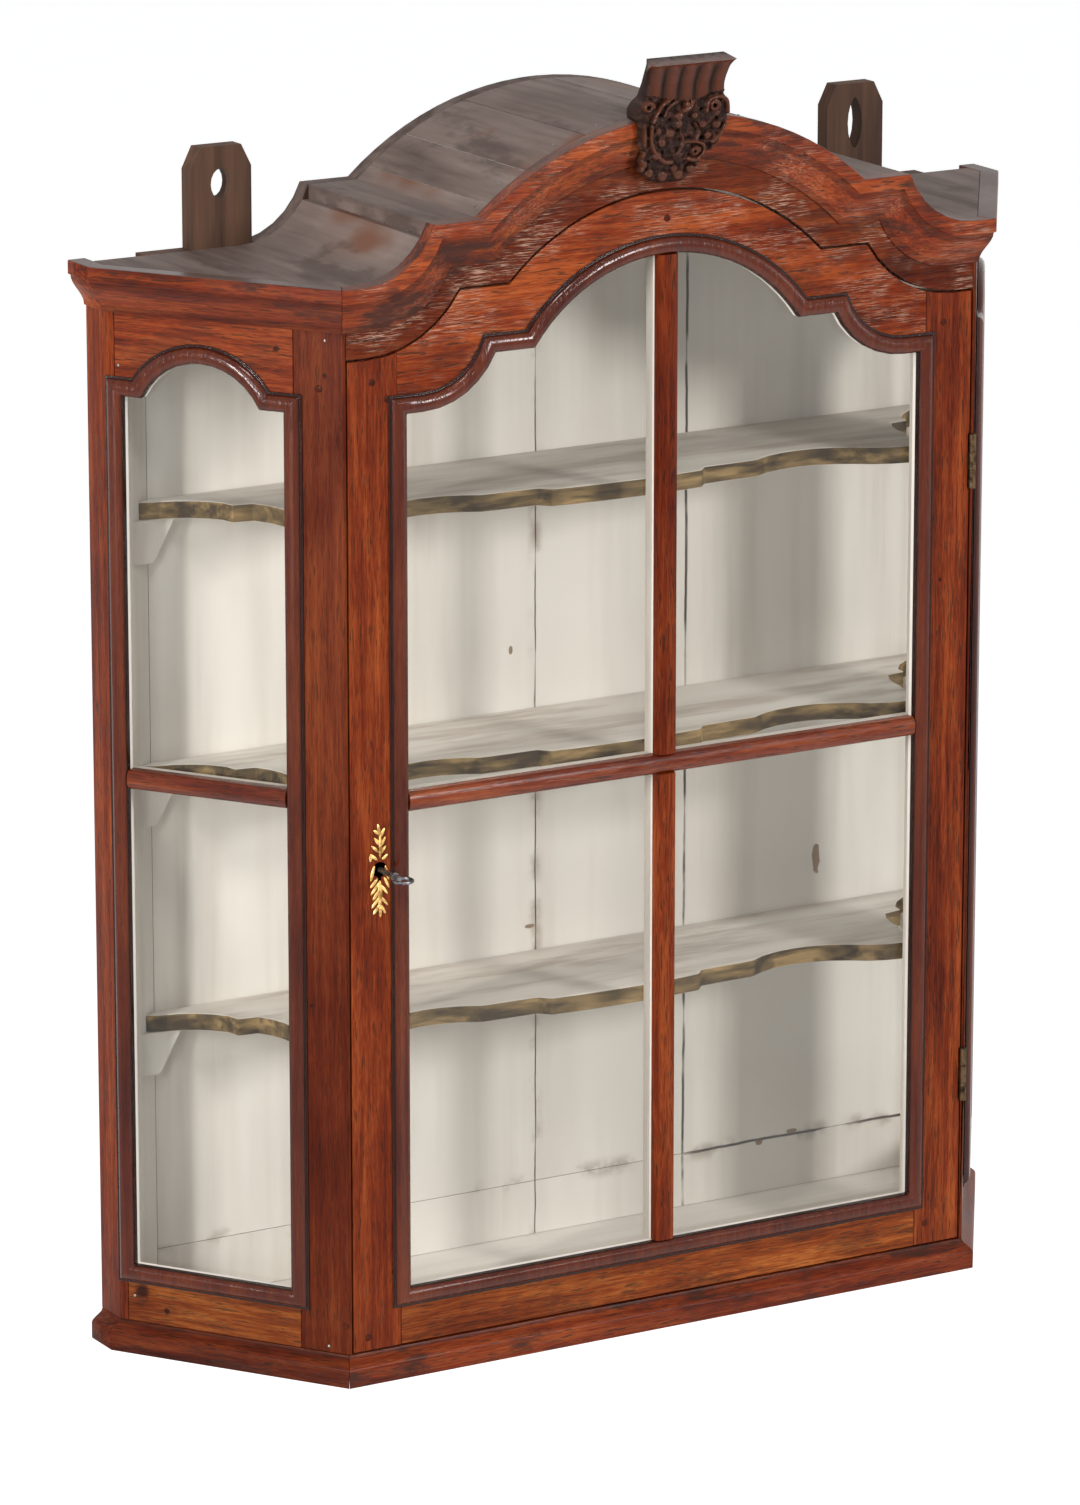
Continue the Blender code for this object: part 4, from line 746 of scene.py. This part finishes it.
# %% [markdown]
# ## Painted shade in the seams
#
# The seams between the planks go right through the back, and light from the wall would shine
# through them. A thin, dark strip fills each seam; it stops the light and is painted shade.

# %% Dark strips of painted shade in the seams
STRIP_HALF = (0.00013, 0.004)
STRIP_MIDDLE = -0.008
STRIP_FOOT = -0.935
STRIP_GAP = 0.008

strips = bmesh.new()
for seam in SEAMS:
    top = ARCH_MIDDLE + math.sqrt(ARCH_UNDERSIDE ** 2 - seam ** 2) - STRIP_GAP
    half_height = (top - STRIP_FOOT) / 2
    where = Matrix.Translation((seam, STRIP_MIDDLE, STRIP_FOOT + half_height))
    size = Matrix.Diagonal((*STRIP_HALF, half_height, 1))
    bmesh.ops.create_cube(strips, size=2.0, matrix=where @ size)
# the dark colour of the strips is painted shade
packed = Coat("seam_shade_strip")
packed.surface(Base_Color=STAIN_DARK, Roughness=0.9)
filling = hang("seam_shade_strip", strips, packed.material)
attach(filling, "case")
print("filled seams", len(SEAMS))

# %% [markdown]
# ## The floor and the shelves
#
# The same paint was brushed from side to side here. The floor board is bare behind and below.
# The shelves are dusty, and their front edges are rubbed through to olive-brown wood.

# %% Floor board and shelves
SHELF_WORN = (0.038, 0.021, 0.008)
SHELF_OLIVE = (0.130, 0.080, 0.030)
SHELF_OCHRE = (0.30, 0.19, 0.080)
SHELF_DUST = (0.40, 0.33, 0.275)
SHELF_EASE = 0.0012


def board_finish(name, shift, worn_front):
    """Paint brushed from side to side, and bare or worn where it was out of reach or in use."""
    coat = Coat(name, ALONG_X, shift)
    facing = coat.parts(coat.normal())
    colour = paint_colour(coat)
    rub = coat.streaks((90, 90, 12), rough=0.65)
    if worn_front:
        tracks = coat.mask(coat.streaks((30, 30, 5), 5.0, 0.65), 0.47, 0.66)
        colour = coat.cover(colour, SHELF_DUST, tracks, 0.7)
        worn = coat.ramp(rub, (0.40, SHELF_WORN), (0.52, SHELF_OLIVE), (0.66, SHELF_OCHRE))
        upright = coat.mask(coat.math("ABSOLUTE", facing["Z"]), 0.75, 0.45)
        colour = coat.blend(upright, colour, worn)
    else:
        hidden = coat.most(coat.mask(facing["Y"], 0.4, 0.6), coat.mask(facing["Z"], -0.4, -0.6))
        colour = coat.blend(hidden, colour, coat.blend(rub, STAIN_MID, BARE_OAK))
    return coat.done(colour, dull=0.7, sheen=0.15, relief=rub, depth=0.0006, bump=0.7)


dress("floor_board", board_finish("paint_floor_board", next_shift(), False))
for name in ("shelf_lower", "shelf_middle", "shelf_upper"):
    dress(name, board_finish(f"worn_{name}", next_shift(), True), SHELF_EASE)
print("painted boards dressed")

# %% [markdown]
# ## The weathered roof
#
# Nobody sees the top of such a cabinet, so its boards were never varnished. They are grey with
# dust, browner in cloudy patches, and smooth enough to shine a little at a low angle. The grain
# runs from front to back on each short board, and the undersides are painted like the inside.

# %% Roof boards
ROOF_PALE = (0.205, 0.158, 0.135)
ROOF_BROWN = (0.125, 0.055, 0.033)


def roof_finish(name, shift):
    coat = Coat(name, ALONG_Y, shift)
    streak = coat.streaks((55, 55, 5))
    cloud = coat.streaks((7, 7, 5), 3.0, 0.55)
    both = coat.weighted((streak, 0.5), (cloud, 0.5))
    colour = coat.ramp(both, (0.34, ROOF_DARK), (0.48, ROOF_GREY), (0.63, ROOF_PALE))
    colour = coat.blend(coat.mask(cloud, 0.56, 0.68), colour, ROOF_BROWN)
    smear = coat.mask(coat.streaks((18, 18, 9), rough=0.65), 0.52, 0.64)
    colour = coat.cover(colour, ROOF_DARK, smear, 0.6)
    below = coat.mask(coat.parts(coat.normal())["Z"], -0.44, -0.50)
    colour = coat.blend(below, colour, paint_colour(coat))
    return coat.done(colour, dull=0.66, sheen=0.2, relief=streak, depth=0.0004, bump=0.6)


for name in sorted(nodes):
    if name.startswith("roof_"):
        dress(name, roof_finish(f"weathered_{name}", next_shift()), PLANK_EASE)
print("roof boards", sum(name.startswith("roof_") for name in nodes))

# %% [markdown]
# ## Old glass
#
# The panes are thin and clear, and what shows that they are there is a faint, wavy reflection.
# A solid glass shader would bend the view and darken the inside, because light reaches it only
# through the glass. A mix of a clear and a mirror shader, weighted by the angle, does what a
# thin pane does. The weight is the same for both faces of the pane, so that slanting light gets
# out again. A slow bump makes the reflection wander like hand-made glass.

# %% Panes
FACE_ON_MIRROR = 0.035
SLANT_POWER = 5.0
CLEAR_TINT = (0.985, 0.99, 0.98)
MIRROR_TINT = (0.5, 0.52, 0.52)
MIRROR_ROUGHNESS = 0.03


def pane_finish(name):
    coat = Coat(name)
    wave = coat.speckle(coat.where(), 11.0, 1.0, 0.4)
    ripple = coat.add("Bump", {"Height": wave, "Distance": 0.004, "Strength": 0.35}).outputs[0]
    slant = coat.add("LayerWeight", {"Blend": 0.5, "Normal": ripple}).outputs["Facing"]
    mirrored = coat.times(coat.math("POWER", slant, SLANT_POWER), 1 - FACE_ON_MIRROR)
    share = coat.math("ADD", mirrored, FACE_ON_MIRROR)
    clear = coat.add("BsdfTransparent", {"Color": CLEAR_TINT}).outputs[0]
    mirror = coat.add("BsdfAnisotropic", {"Color": MIRROR_TINT, "Roughness": MIRROR_ROUGHNESS,
                                          "Normal": ripple}).outputs[0]
    both = coat.add("MixShader", {0: share, 1: clear, 2: mirror}).outputs[0]
    coat.tree.nodes.remove(coat.shader)
    coat.put(coat.tree.nodes["Material Output"].inputs["Surface"], both)
    return coat.material


glass = pane_finish("wavy_glass")
for name in nodes:
    if "pane" in name:
        dress(name, glass, 0)
print("panes", sum("pane" in name for name in nodes))

# %% [markdown]
# ## Metal
#
# The key plate is gilt brass, rubbed bright in patches. The hinges are the same metal,
# but their gilding has gone and the brass is dull and brown. The lock case and the key are iron,
# polished by hands and stained elsewhere. All are the same network with other colours: a cloudy
# noise shifts the colour and the roughness.

# %% Metals
METAL_EASE = 0.0002


def metal(name, dark, light, roughness, grit=180.0):
    coat = Coat(name)
    cloud = coat.speckle(coat.where(), grit, 4.0, 0.6)
    colour = coat.ramp(cloud, (0.35, dark), (0.60, light))
    coat.surface(Metallic=1.0)
    dull = coat.ramp(cloud, (0.3, roughness + 0.15), (0.7, roughness))
    return coat.done(colour, dull, sheen=0.5, relief=cloud, depth=0.0002, bump=0.5)


gilt = metal("gilt_brass", (0.23, 0.11, 0.025), (0.78, 0.52, 0.20), 0.34)
iron = metal("dark_iron", (0.035, 0.033, 0.036), (0.20, 0.19, 0.20), 0.36)
tarnish = metal("tarnished_brass", (0.020, 0.013, 0.009), (0.105, 0.066, 0.034), 0.46)
for name in nodes:
    if name.startswith("hinge_"):
        dress(name, tarnish, METAL_EASE)
for name in ("lock_case", "key"):
    dress(name, iron, METAL_EASE)
print("metal pieces", sum(node.active_material in (tarnish, iron) for node in nodes.values()))

# %% [markdown]
# ## The carved crest
#
# The crest is one block of dark oak: flutes fan out over its top, and below them scrolls and
# leaves are cut in relief. They are laid out one by one: every ridge is a chain of round dabs
# along a line, each dab with a radius and a height. A fine grid will take at each of its points
# the highest dab above it, and drills count downwards.

# %% Layout of the carving, in millimetres from the top of the arch
CREST_LEFT = ((-56, -12), (-52, -24), (-47, -31), (-43, -36), (-39, -34), (-34, -36.5), (-28, -35),
              (-24, -38.5), (-15, -39.5), (-5, -41), (1, -42.6), (7, -42.6), (12, -41), (17, -38),
              (29, -38), (39, -39), (46, -40.2))
CREST_RIGHT = ((-56, 9), (-49, 15.5), (-41, 22), (-35, 21.6), (-31, 30), (-24, 37.2), (-15, 39.5),
               (-10, 42), (-2, 42.8), (6, 41.8), (12, 40), (17, 36.8), (25, 36), (33, 36.8),
               (40, 38.2), (46, 40))
CREST_FRONT = ((-56, 11), (-49, 12.5), (-42, 15), (-32, 18.5), (-23, 22), (-5, 27), (6, 29),
               (19, 31), (29, 33), (39, 37), (46, 41))
CREST_BEHIND = ((-56, -2), (6, -1), (12.5, 3), (19, 9), (29, 15), (39, 21), (46, 26))
SCROLL_LINES = (
    (((-30, -2), (-27, 6), (-23, 12), (-13.5, 17.6), (-3, 19), (4.5, 15), (3.4, 8.6), (-1.6, 6)), 2.6, 4.4),
    (((-20, 2), (-17, 9), (-10, 13.6)), 2, 3),
    (((19, 3), (21, 12.6), (30, 14.6), (37, 11.6), (41, 1.5)), 2.4, 4),
    (((-31, -5), (-30, -16), (-25, -27), (-14, -36.4), (-7, -37.5)), 2.6, 4.2),
    (((3, -21), (12, -21.5), (20.5, -25), (22.4, -31.5), (17, -37.5), (9, -36)), 2.5, 4.2),
    (((38.5, -9), (35, -17), (29, -23)), 2.4, 3.8),
    (((-38, -3), (-36.6, -12), (-35, -21)), 2.2, 3.4),
    (((-3, -12), (1, -21), (-1, -31)), 1.8, 3),
    (((10, -6), (14.5, -14), (13, -21)), 1.8, 3.2),
)
SCROLL_RINGS = ((-35.6, 11, 4.4), (26.4, 7.6, 4.6), (14.4, -30, 3.8), (-22, -31, 2.6))
LEAVES = ((-6, 1.4, 3.8, 4.2), (0, 10.8, 3, 5), (-5.4, -5.2, 3.6, 3.6), (17.6, -7.4, 3.8, 3.6),
          (-12.6, -12.6, 4.4, 4), (-18.4, -20.6, 4.2, 3.8), (23.6, -17.4, 4, 3.6),
          (-25.4, -46.2, 4.6, 4), (-12, -49.2, 4.8, 4.2), (3, -49.4, 4.8, 4.2), (-35, -29, 3.6, 3.6),
          (-32.4, -37.8, 4, 3.8), (13.4, -45, 4.2, 3.8), (-2, -43.6, 3.6, 3.2), (30, 1.2, 3, 2.8),
          (30.6, -9, 4, 3.4), (-33, -42, 3.2, 3), (8.6, 0.4, 3.2, 3.4), (-23.6, -10, 3.4, 3),
          (20.6, -41.6, 3.4, 3), (31.6, -27.6, 3.2, 3))
DRILL_HOLES = ((15, 5.4), (-13.2, -1), (-5, -10.6), (19.4, -19.4), (7, -38.4), (-23, 3), (26.4, 7.6),
               (-35.6, 11), (30.4, -3.6), (-16.4, -29), (-28, -35.4), (12.6, -11))
FLUTES = 5


def along(table, place):
    """Straight interpolation in a table of (place, value)."""
    for (low, first), (high, last) in zip(table, table[1:]):
        if place <= high:
            return first + (last - first) * max(place - low, 0) / (high - low)
    return table[-1][1]


def round_line(points, step=0.5):
    """Places along a smooth curve through points."""
    rounded = [Vector(point) for point in points]
    padded = [2 * rounded[0] - rounded[1]] + rounded + [2 * rounded[-1] - rounded[-2]]
    places = []
    for before, start, end, after in zip(padded, padded[1:], padded[2:], padded[3:]):
        count = max(int((end - start).length / step), 1)
        for number in range(count):
            t = number / count
            places.append(0.5 * ((2 * start) + (end - before) * t
                                 + (2 * before - 5 * start + 4 * end - after) * t * t
                                 + (3 * start - before - 3 * end + after) * t ** 3))
    return places + [rounded[-1]]


LINE_START = 0.62
RING_DABS = 40
RING_TURN = 2.6 * math.pi
RING_CLOSES = 0.55
RING_WIDTH = 1.7
RING_HEIGHT = 4.0

dabs = []
for points, radius, top in SCROLL_LINES:
    curve = round_line(points)
    for number, place in enumerate(curve):
        thickness = radius * (LINE_START + (1 - LINE_START) * number / len(curve))
        dabs.append((place.x, place.y, thickness, top))
for x, z, ring in SCROLL_RINGS:
    for number in range(RING_DABS):
        turn = RING_TURN * number / RING_DABS
        reach = ring * (1 - RING_CLOSES * number / RING_DABS)
        dabs.append((x + reach * math.cos(turn), z + reach * math.sin(turn), RING_WIDTH, RING_HEIGHT))
dabs += list(LEAVES)
print("dabs", len(dabs))

# %% [markdown]
# ## Cutting the relief
#
# The block is a fine grid. Dabs, drill holes and a little noise set the height of its front, and
# flutes run up to a lip above them. The back is scribed: it follows the cornice that carries it.

# %% Cut the relief, in millimetres
CREST_COLUMNS = 130
CREST_ROWS = 150
CREST_FOOT = -56
CREST_TOP = 46
CREST_GROUND = 2.4
CREST_RIM = 3.5
BACK_WIDTH = 0.9
BACK_LIFT = 4
FLUTE_START = 17
FLUTE_SWAY = 3
FLUTE_HEIGHT = 0.4
FLUTE_DEPTH = 2.6
LIP_START = 40
LIP_RISE = 1.6
WIDEST_DAB = 5.0
DRILL_RADIUS = 1.9
DRILL_DEPTH = 3.6
# depth and fineness of the uneven cuts
UNEVEN_CUTS = ((2.2, 0.19), (1.3, 0.47))
ARCH_TOP_HEIGHT = 0.063
ARCH_RADIUS_MM = 268.12
FASCIA_END = 12.3
FASCIA_REACH = 16.4
FOOT_START = 38
FOOT_REACH = 0.6
dab_tree = kdtree.KDTree(len(dabs))
for number, (x, z, radius, top) in enumerate(dabs):
    dab_tree.insert((x, z, 0), number)
dab_tree.balance()


def relief(x, z, share):
    """Height of the carving over its ground at one point; share runs from left to right."""
    if z > FLUTE_START + FLUTE_SWAY * math.cos(2 * math.pi * share):
        fan = abs(math.sin(math.pi * FLUTES * share))
        lip = max(0.0, (z - LIP_START) / (CREST_TOP - LIP_START)) ** 2
        flute = FLUTE_DEPTH * (1 - fan) * (1 - lip)
        return CREST_GROUND + FLUTE_HEIGHT - flute + LIP_RISE * lip
    height = 0.0
    for _, number, reach in dab_tree.find_range((x, z, 0), WIDEST_DAB):
        radius, top = dabs[number][2:]
        if reach < radius:
            height = max(height, top * math.sqrt(1 - (reach / radius) ** 2))
    for hole_x, hole_z in DRILL_HOLES:
        reach = math.hypot(x - hole_x, z - hole_z)
        if reach < DRILL_RADIUS:
            height -= DRILL_DEPTH * (1 - (reach / DRILL_RADIUS) ** 2)
    spot = Vector((x, z, 3.0))
    uneven = sum(depth * noise.noise(spot * fine) for depth, fine in UNEVEN_CUTS)
    return height + uneven * max(0.3, 1 - height / 4)


def cornice_reach(radius):
    """How far the cornice stands out at a distance from the centre of the arch."""
    down = ARCH_RADIUS_MM - radius
    if down < FASCIA_END:
        return FASCIA_REACH
    if down > FOOT_START:
        return FOOT_REACH
    return 2.8 + 11.8 * (0.5 + 0.5 * math.cos(math.pi * (down - 11.9) / 26.1))


block = bmesh.new()
relief_layer = block.verts.layers.float.new("carved_height")
bmesh.ops.create_grid(block, x_segments=CREST_COLUMNS, y_segments=CREST_ROWS, size=0.5)
grown = bmesh.ops.extrude_face_region(block, geom=block.faces[:])["geom"]
front_verts = {item for item in grown if isinstance(item, bmesh.types.BMVert)}
for vert in block.verts:
    share, rise = vert.co.x + 0.5, vert.co.y + 0.5
    z = CREST_FOOT + (CREST_TOP - CREST_FOOT) * rise
    left, right = along(CREST_LEFT, z), along(CREST_RIGHT, z)
    x = left + (right - left) * share
    if vert in front_verts:
        cut = relief(x, z, share)
        edge = min(share, 1 - share, 3 * rise) * (right - left)
        rounding = CREST_RIM * max(0.0, 1 - edge / CREST_RIM) ** 2
        out = along(CREST_FRONT, z) - CREST_GROUND + cut - rounding
        vert[relief_layer] = cut
    else:
        x = (left + right) / 2 + (x - (left + right) / 2) * BACK_WIDTH
        out = along(CREST_BEHIND, z)
        radius = math.hypot(x, z + ARCH_RADIUS_MM)
        if radius < ARCH_RADIUS_MM + 1.0:
            out = max(out, cornice_reach(radius))
        if z > CREST_TOP - 0.5:
            z += BACK_LIFT
    vert.co = Vector((x / 1000, -BODY_DEPTH - out / 1000, ARCH_TOP_HEIGHT + z / 1000))
bmesh.ops.recalc_face_normals(block, faces=block.faces[:])
print("crest points", len(block.verts))

# %% [markdown]
# ## Colour of the carving
#
# Each point of the grid keeps the height of its cut, and the material reads it. The hollows stay
# dark, the ridges are lighter and shine, and the flutes are redder.

# %% Carved oak
CREST_HOLLOW = (0.0120, 0.0035, 0.0018)
CREST_BROWN = (0.038, 0.0105, 0.0048)
CREST_RIDGE = (0.078, 0.025, 0.012)
CREST_RED = (0.078, 0.0180, 0.0070)
CREST_DUST = (0.15, 0.125, 0.110)


def carved_finish():
    """Dark in the hollows, brown on the ridges, dusty where it faces up."""
    coat = Coat("carved_oak", GRAIN_UP, (0.3, 0.2, 0.1))
    height = coat.add("Attribute", attribute_name="carved_height").outputs["Fac"]
    streak = coat.streaks((190, 190, 26))
    part = coat.parts(coat.where())
    facing = coat.parts(coat.normal())
    ridge = coat.weighted((height, 0.15), (streak, 0.4))
    colour = coat.ramp(ridge, (0.15, CREST_HOLLOW), (0.50, CREST_BROWN), (0.95, CREST_RIDGE))
    level = coat.weighted((height, 0.22), (streak, 0.45))
    flute = coat.ramp(level, (0.35, CREST_HOLLOW), (0.60, CREST_BROWN), (0.95, CREST_RED))
    redder = coat.mask(part["Z"], ARCH_TOP_HEIGHT + 0.014, ARCH_TOP_HEIGHT + 0.022)
    colour = coat.blend(redder, colour, flute)
    dust = coat.times(coat.mask(facing["Z"], 0.80, 0.96), coat.mask(streak, 0.35, 0.55))
    colour = coat.cover(colour, CREST_DUST, dust, 0.25)
    shine = coat.ramp(ridge, (0.2, 0.60), (0.8, 0.20))
    return coat.done(colour, shine, sheen=0.14, relief=streak, depth=0.0005, bump=0.7)


crest = hang("carved_crest", block, carved_finish())
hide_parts("crest")
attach(crest, "case")
print("crest faces", len(crest.data.polygons))

# %% [markdown]
# ## The key plate
#
# The plate is a cast spray of leaves with a ring round the keyhole. Each leaf is a flattened
# sphere, turned along a line from its root to its tip. At the end one cut makes the whole back
# flat, as the plate has to lie on the stile.

# %% Leaves of the plate, in millimetres from the axis of the key
KEY_AXIS = Vector((-0.269, -0.2103, -0.531))
PLATE_LEAVES = (
    (0.2, 26, -1.6, 38.6, 2.4), (0.6, 27, 4.6, 34.6, 2.2), (0.2, 29, -5.4, 33.6, 2.2),
    (0, 20, -5.2, 27.4, 2.4), (0.4, 19, 5.4, 27.2, 2.6), (0, 14, -7.8, 20.8, 2.8), (0, 13, 5.8, 19.6, 2.6),
    (0, 9, 0.2, 31, 4.2), (-2, 8, -9, 14, 2.6), (2, 8, 7.6, 12.4, 2.4), (-8, 14, -8.6, 7.4, 1.6),
    (-5, 4, -8.6, -9, 2.2), (5, 3, 8, -9.6, 2.4), (4, -7, 8.8, -16.8, 2), (-2, -7, -8.9, -14.4, 2.4),
    (0, -10, -8.6, -20.6, 2.4), (0, -12, 7.4, -21.4, 2.6), (0, -16, -6.8, -25.2, 2.2), (0, -9, 0, -33, 4.6),
    (0, -22, -7.8, -31.4, 2.6), (0, -22, 7.6, -31, 2.6), (0, -29, -6.4, -36.8, 2.2),
    (0, -30, 0.2, -40, 2.6), (0, -29, 5.4, -37.6, 2.2))
LEAF_THICKNESS = 1.5
KEY_RING = 5.2
RING_WIRE = 1.2

spray = bmesh.new()
for x0, z0, x1, z1, width in PLATE_LEAVES:
    root, tip = Vector((x0, 0, z0)), Vector((x1, 0, z1))
    turn = (tip - root).to_track_quat("Z", "Y").to_matrix().to_4x4()
    size = Matrix.Diagonal((width / 2, LEAF_THICKNESS, (tip - root).length / 2, 1))
    bmesh.ops.create_uvsphere(spray, u_segments=12, v_segments=10, radius=1.0,
                              matrix=Matrix.Translation((root + tip) / 2) @ turn @ size)
ring = bmesh.ops.create_circle(spray, segments=10, radius=RING_WIRE)["verts"]
bmesh.ops.rotate(spray, verts=ring, matrix=Matrix.Rotation(math.pi / 2, 3, "X"))
bmesh.ops.translate(spray, verts=ring, vec=(KEY_RING, 0, 0))
ring_edges = list({edge for vert in ring for edge in vert.link_edges})
bmesh.ops.spin(spray, geom=ring_edges, axis=(0, 1, 0), angle=math.tau, steps=32, use_merge=True,
               use_duplicate=False)
bmesh.ops.scale(spray, verts=spray.verts[:], vec=(0.001, 0.001, 0.001))
cut = bmesh.ops.bisect_plane(spray, geom=spray.verts[:] + spray.edges[:] + spray.faces[:],
                             plane_co=(0, 0, 0), plane_no=(0, 1, 0), clear_outer=True)
rims = [item for item in cut["geom_cut"] if isinstance(item, bmesh.types.BMEdge)]
bmesh.ops.holes_fill(spray, edges=rims, sides=0)
bmesh.ops.translate(spray, verts=spray.verts[:], vec=KEY_AXIS)
bmesh.ops.recalc_face_normals(spray, faces=spray.faces[:])
plate = hang("leafy_key_plate", spray, gilt)
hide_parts("escutcheon")
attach(plate, "door")
print("plate faces", len(plate.data.polygons))

# %% [markdown]
# ## Pegs and nails
#
# The frame joints are drawn tight with round pegs, whose end grain stands a hair out of the face
# and has gone dark. Nails hold the mouldings, and a row of darker ones holds the roof boards. All
# of them ride on the case or on the door, and turn with it.

# %% Pegs and nails
PEG_RADIUS = 0.0033
PEG_TAPER = 0.86
PEG_HEIGHT = 0.0008
PEG_RIM = 0.0009
PEG_DOME = 0.0002
NAIL_RADIUS = 0.0013
NAIL_FLATNESS = 0.45
LEFT_FACE = Vector((-CANT.y, -CANT.x, 0))
FRONT_FACE = Vector((0, -1, 0))
CASE_PEGS = [((-311.9, -192.5, 830.9), LEFT_FACE), ((-301.5, -207.8, 50), LEFT_FACE)]
DOOR_PEGS = [((x, -210, z), FRONT_FACE) for x, z in (
    (-273.5, 835), (-259.9, 820.4), (-282.4, 37.8), (-0.6, 941.6), (268, 829), (262, 45))]
CASE_NAILS = [(place, LEFT_FACE) for place in (
    (-374.8, -99.7, 850.8), (-413.5, -42.7, 834), (-308.7, -197.1, 870.3),
    (-412, -44.8, 47.5), (-310.5, -194.5, 30.5))]
CASE_NAILS += [((-183.2, -210, 938.3), FRONT_FACE), ((186, -210, 929), FRONT_FACE)]
DOOR_NAILS = [((x, -210, z), FRONT_FACE) for x, z in ((-146, 852), (10, 925.3), (150, 850))]
ROOF_NAILS = [-172, -150, -100, -60, 2, 40, 74, 128, 150]
ROOF_NAIL_LINE = -0.198


def set_out(place, facing):
    """A matrix that stands a small piece on a face, from millimetres over the base."""
    return Matrix.Translation(over_base(*place)) @ facing.to_track_quat("Z", "Y").to_matrix().to_4x4()


def pegs(name, places, material):
    shaped = bmesh.new()
    for place, facing in places:
        bmesh.ops.create_cone(shaped, cap_ends=True, segments=18, radius1=PEG_RADIUS,
                              radius2=PEG_TAPER * PEG_RADIUS, depth=PEG_HEIGHT,
                              matrix=set_out(place, facing))
    caps = [face for face in shaped.faces if len(face.verts) > 4]
    bmesh.ops.inset_individual(shaped, faces=caps, thickness=PEG_RIM, depth=PEG_DOME)
    return hang(name, shaped, material)


def roof_place(x):
    """A nail near the front edge of the arched roof, and the way that it faces."""
    away = math.sqrt(ARCH_RADIUS_MM ** 2 - x ** 2)
    height = 1000 * (ARCH_MIDDLE + HANG_HEIGHT) + away
    return (x, 1000 * ROOF_NAIL_LINE, height), Vector((x, 0, away)).normalized()


def nails(name, places, material):
    shaped = bmesh.new()
    for place, facing in places:
        flat = Matrix.Diagonal((1, 1, NAIL_FLATNESS, 1))
        bmesh.ops.create_uvsphere(shaped, u_segments=12, v_segments=8, radius=NAIL_RADIUS,
                                  matrix=set_out(place, facing) @ flat)
    return hang(name, shaped, material)


peg_wood = oak("peg_end_grain", ALONG_Y, (0.7, 0.1, 0.4), tone=0.35)
nail_iron = metal("rubbed_nails", (0.05, 0.04, 0.035), (0.36, 0.33, 0.30), 0.5, 900.0)
for name, places, body in (("case", CASE_PEGS, "case"), ("door", DOOR_PEGS, "door")):
    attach(pegs(f"pegs_{name}", places, peg_wood), body)
for name, places, body in (("case", CASE_NAILS, "case"), ("door", DOOR_NAILS, "door")):
    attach(nails(f"nails_{name}", places, nail_iron), body)
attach(nails("nails_roof", [roof_place(x) for x in ROOF_NAILS], iron), "case")
print("pegs", len(CASE_PEGS) + len(DOOR_PEGS), "nails", len(CASE_NAILS + DOOR_NAILS + ROOF_NAILS))
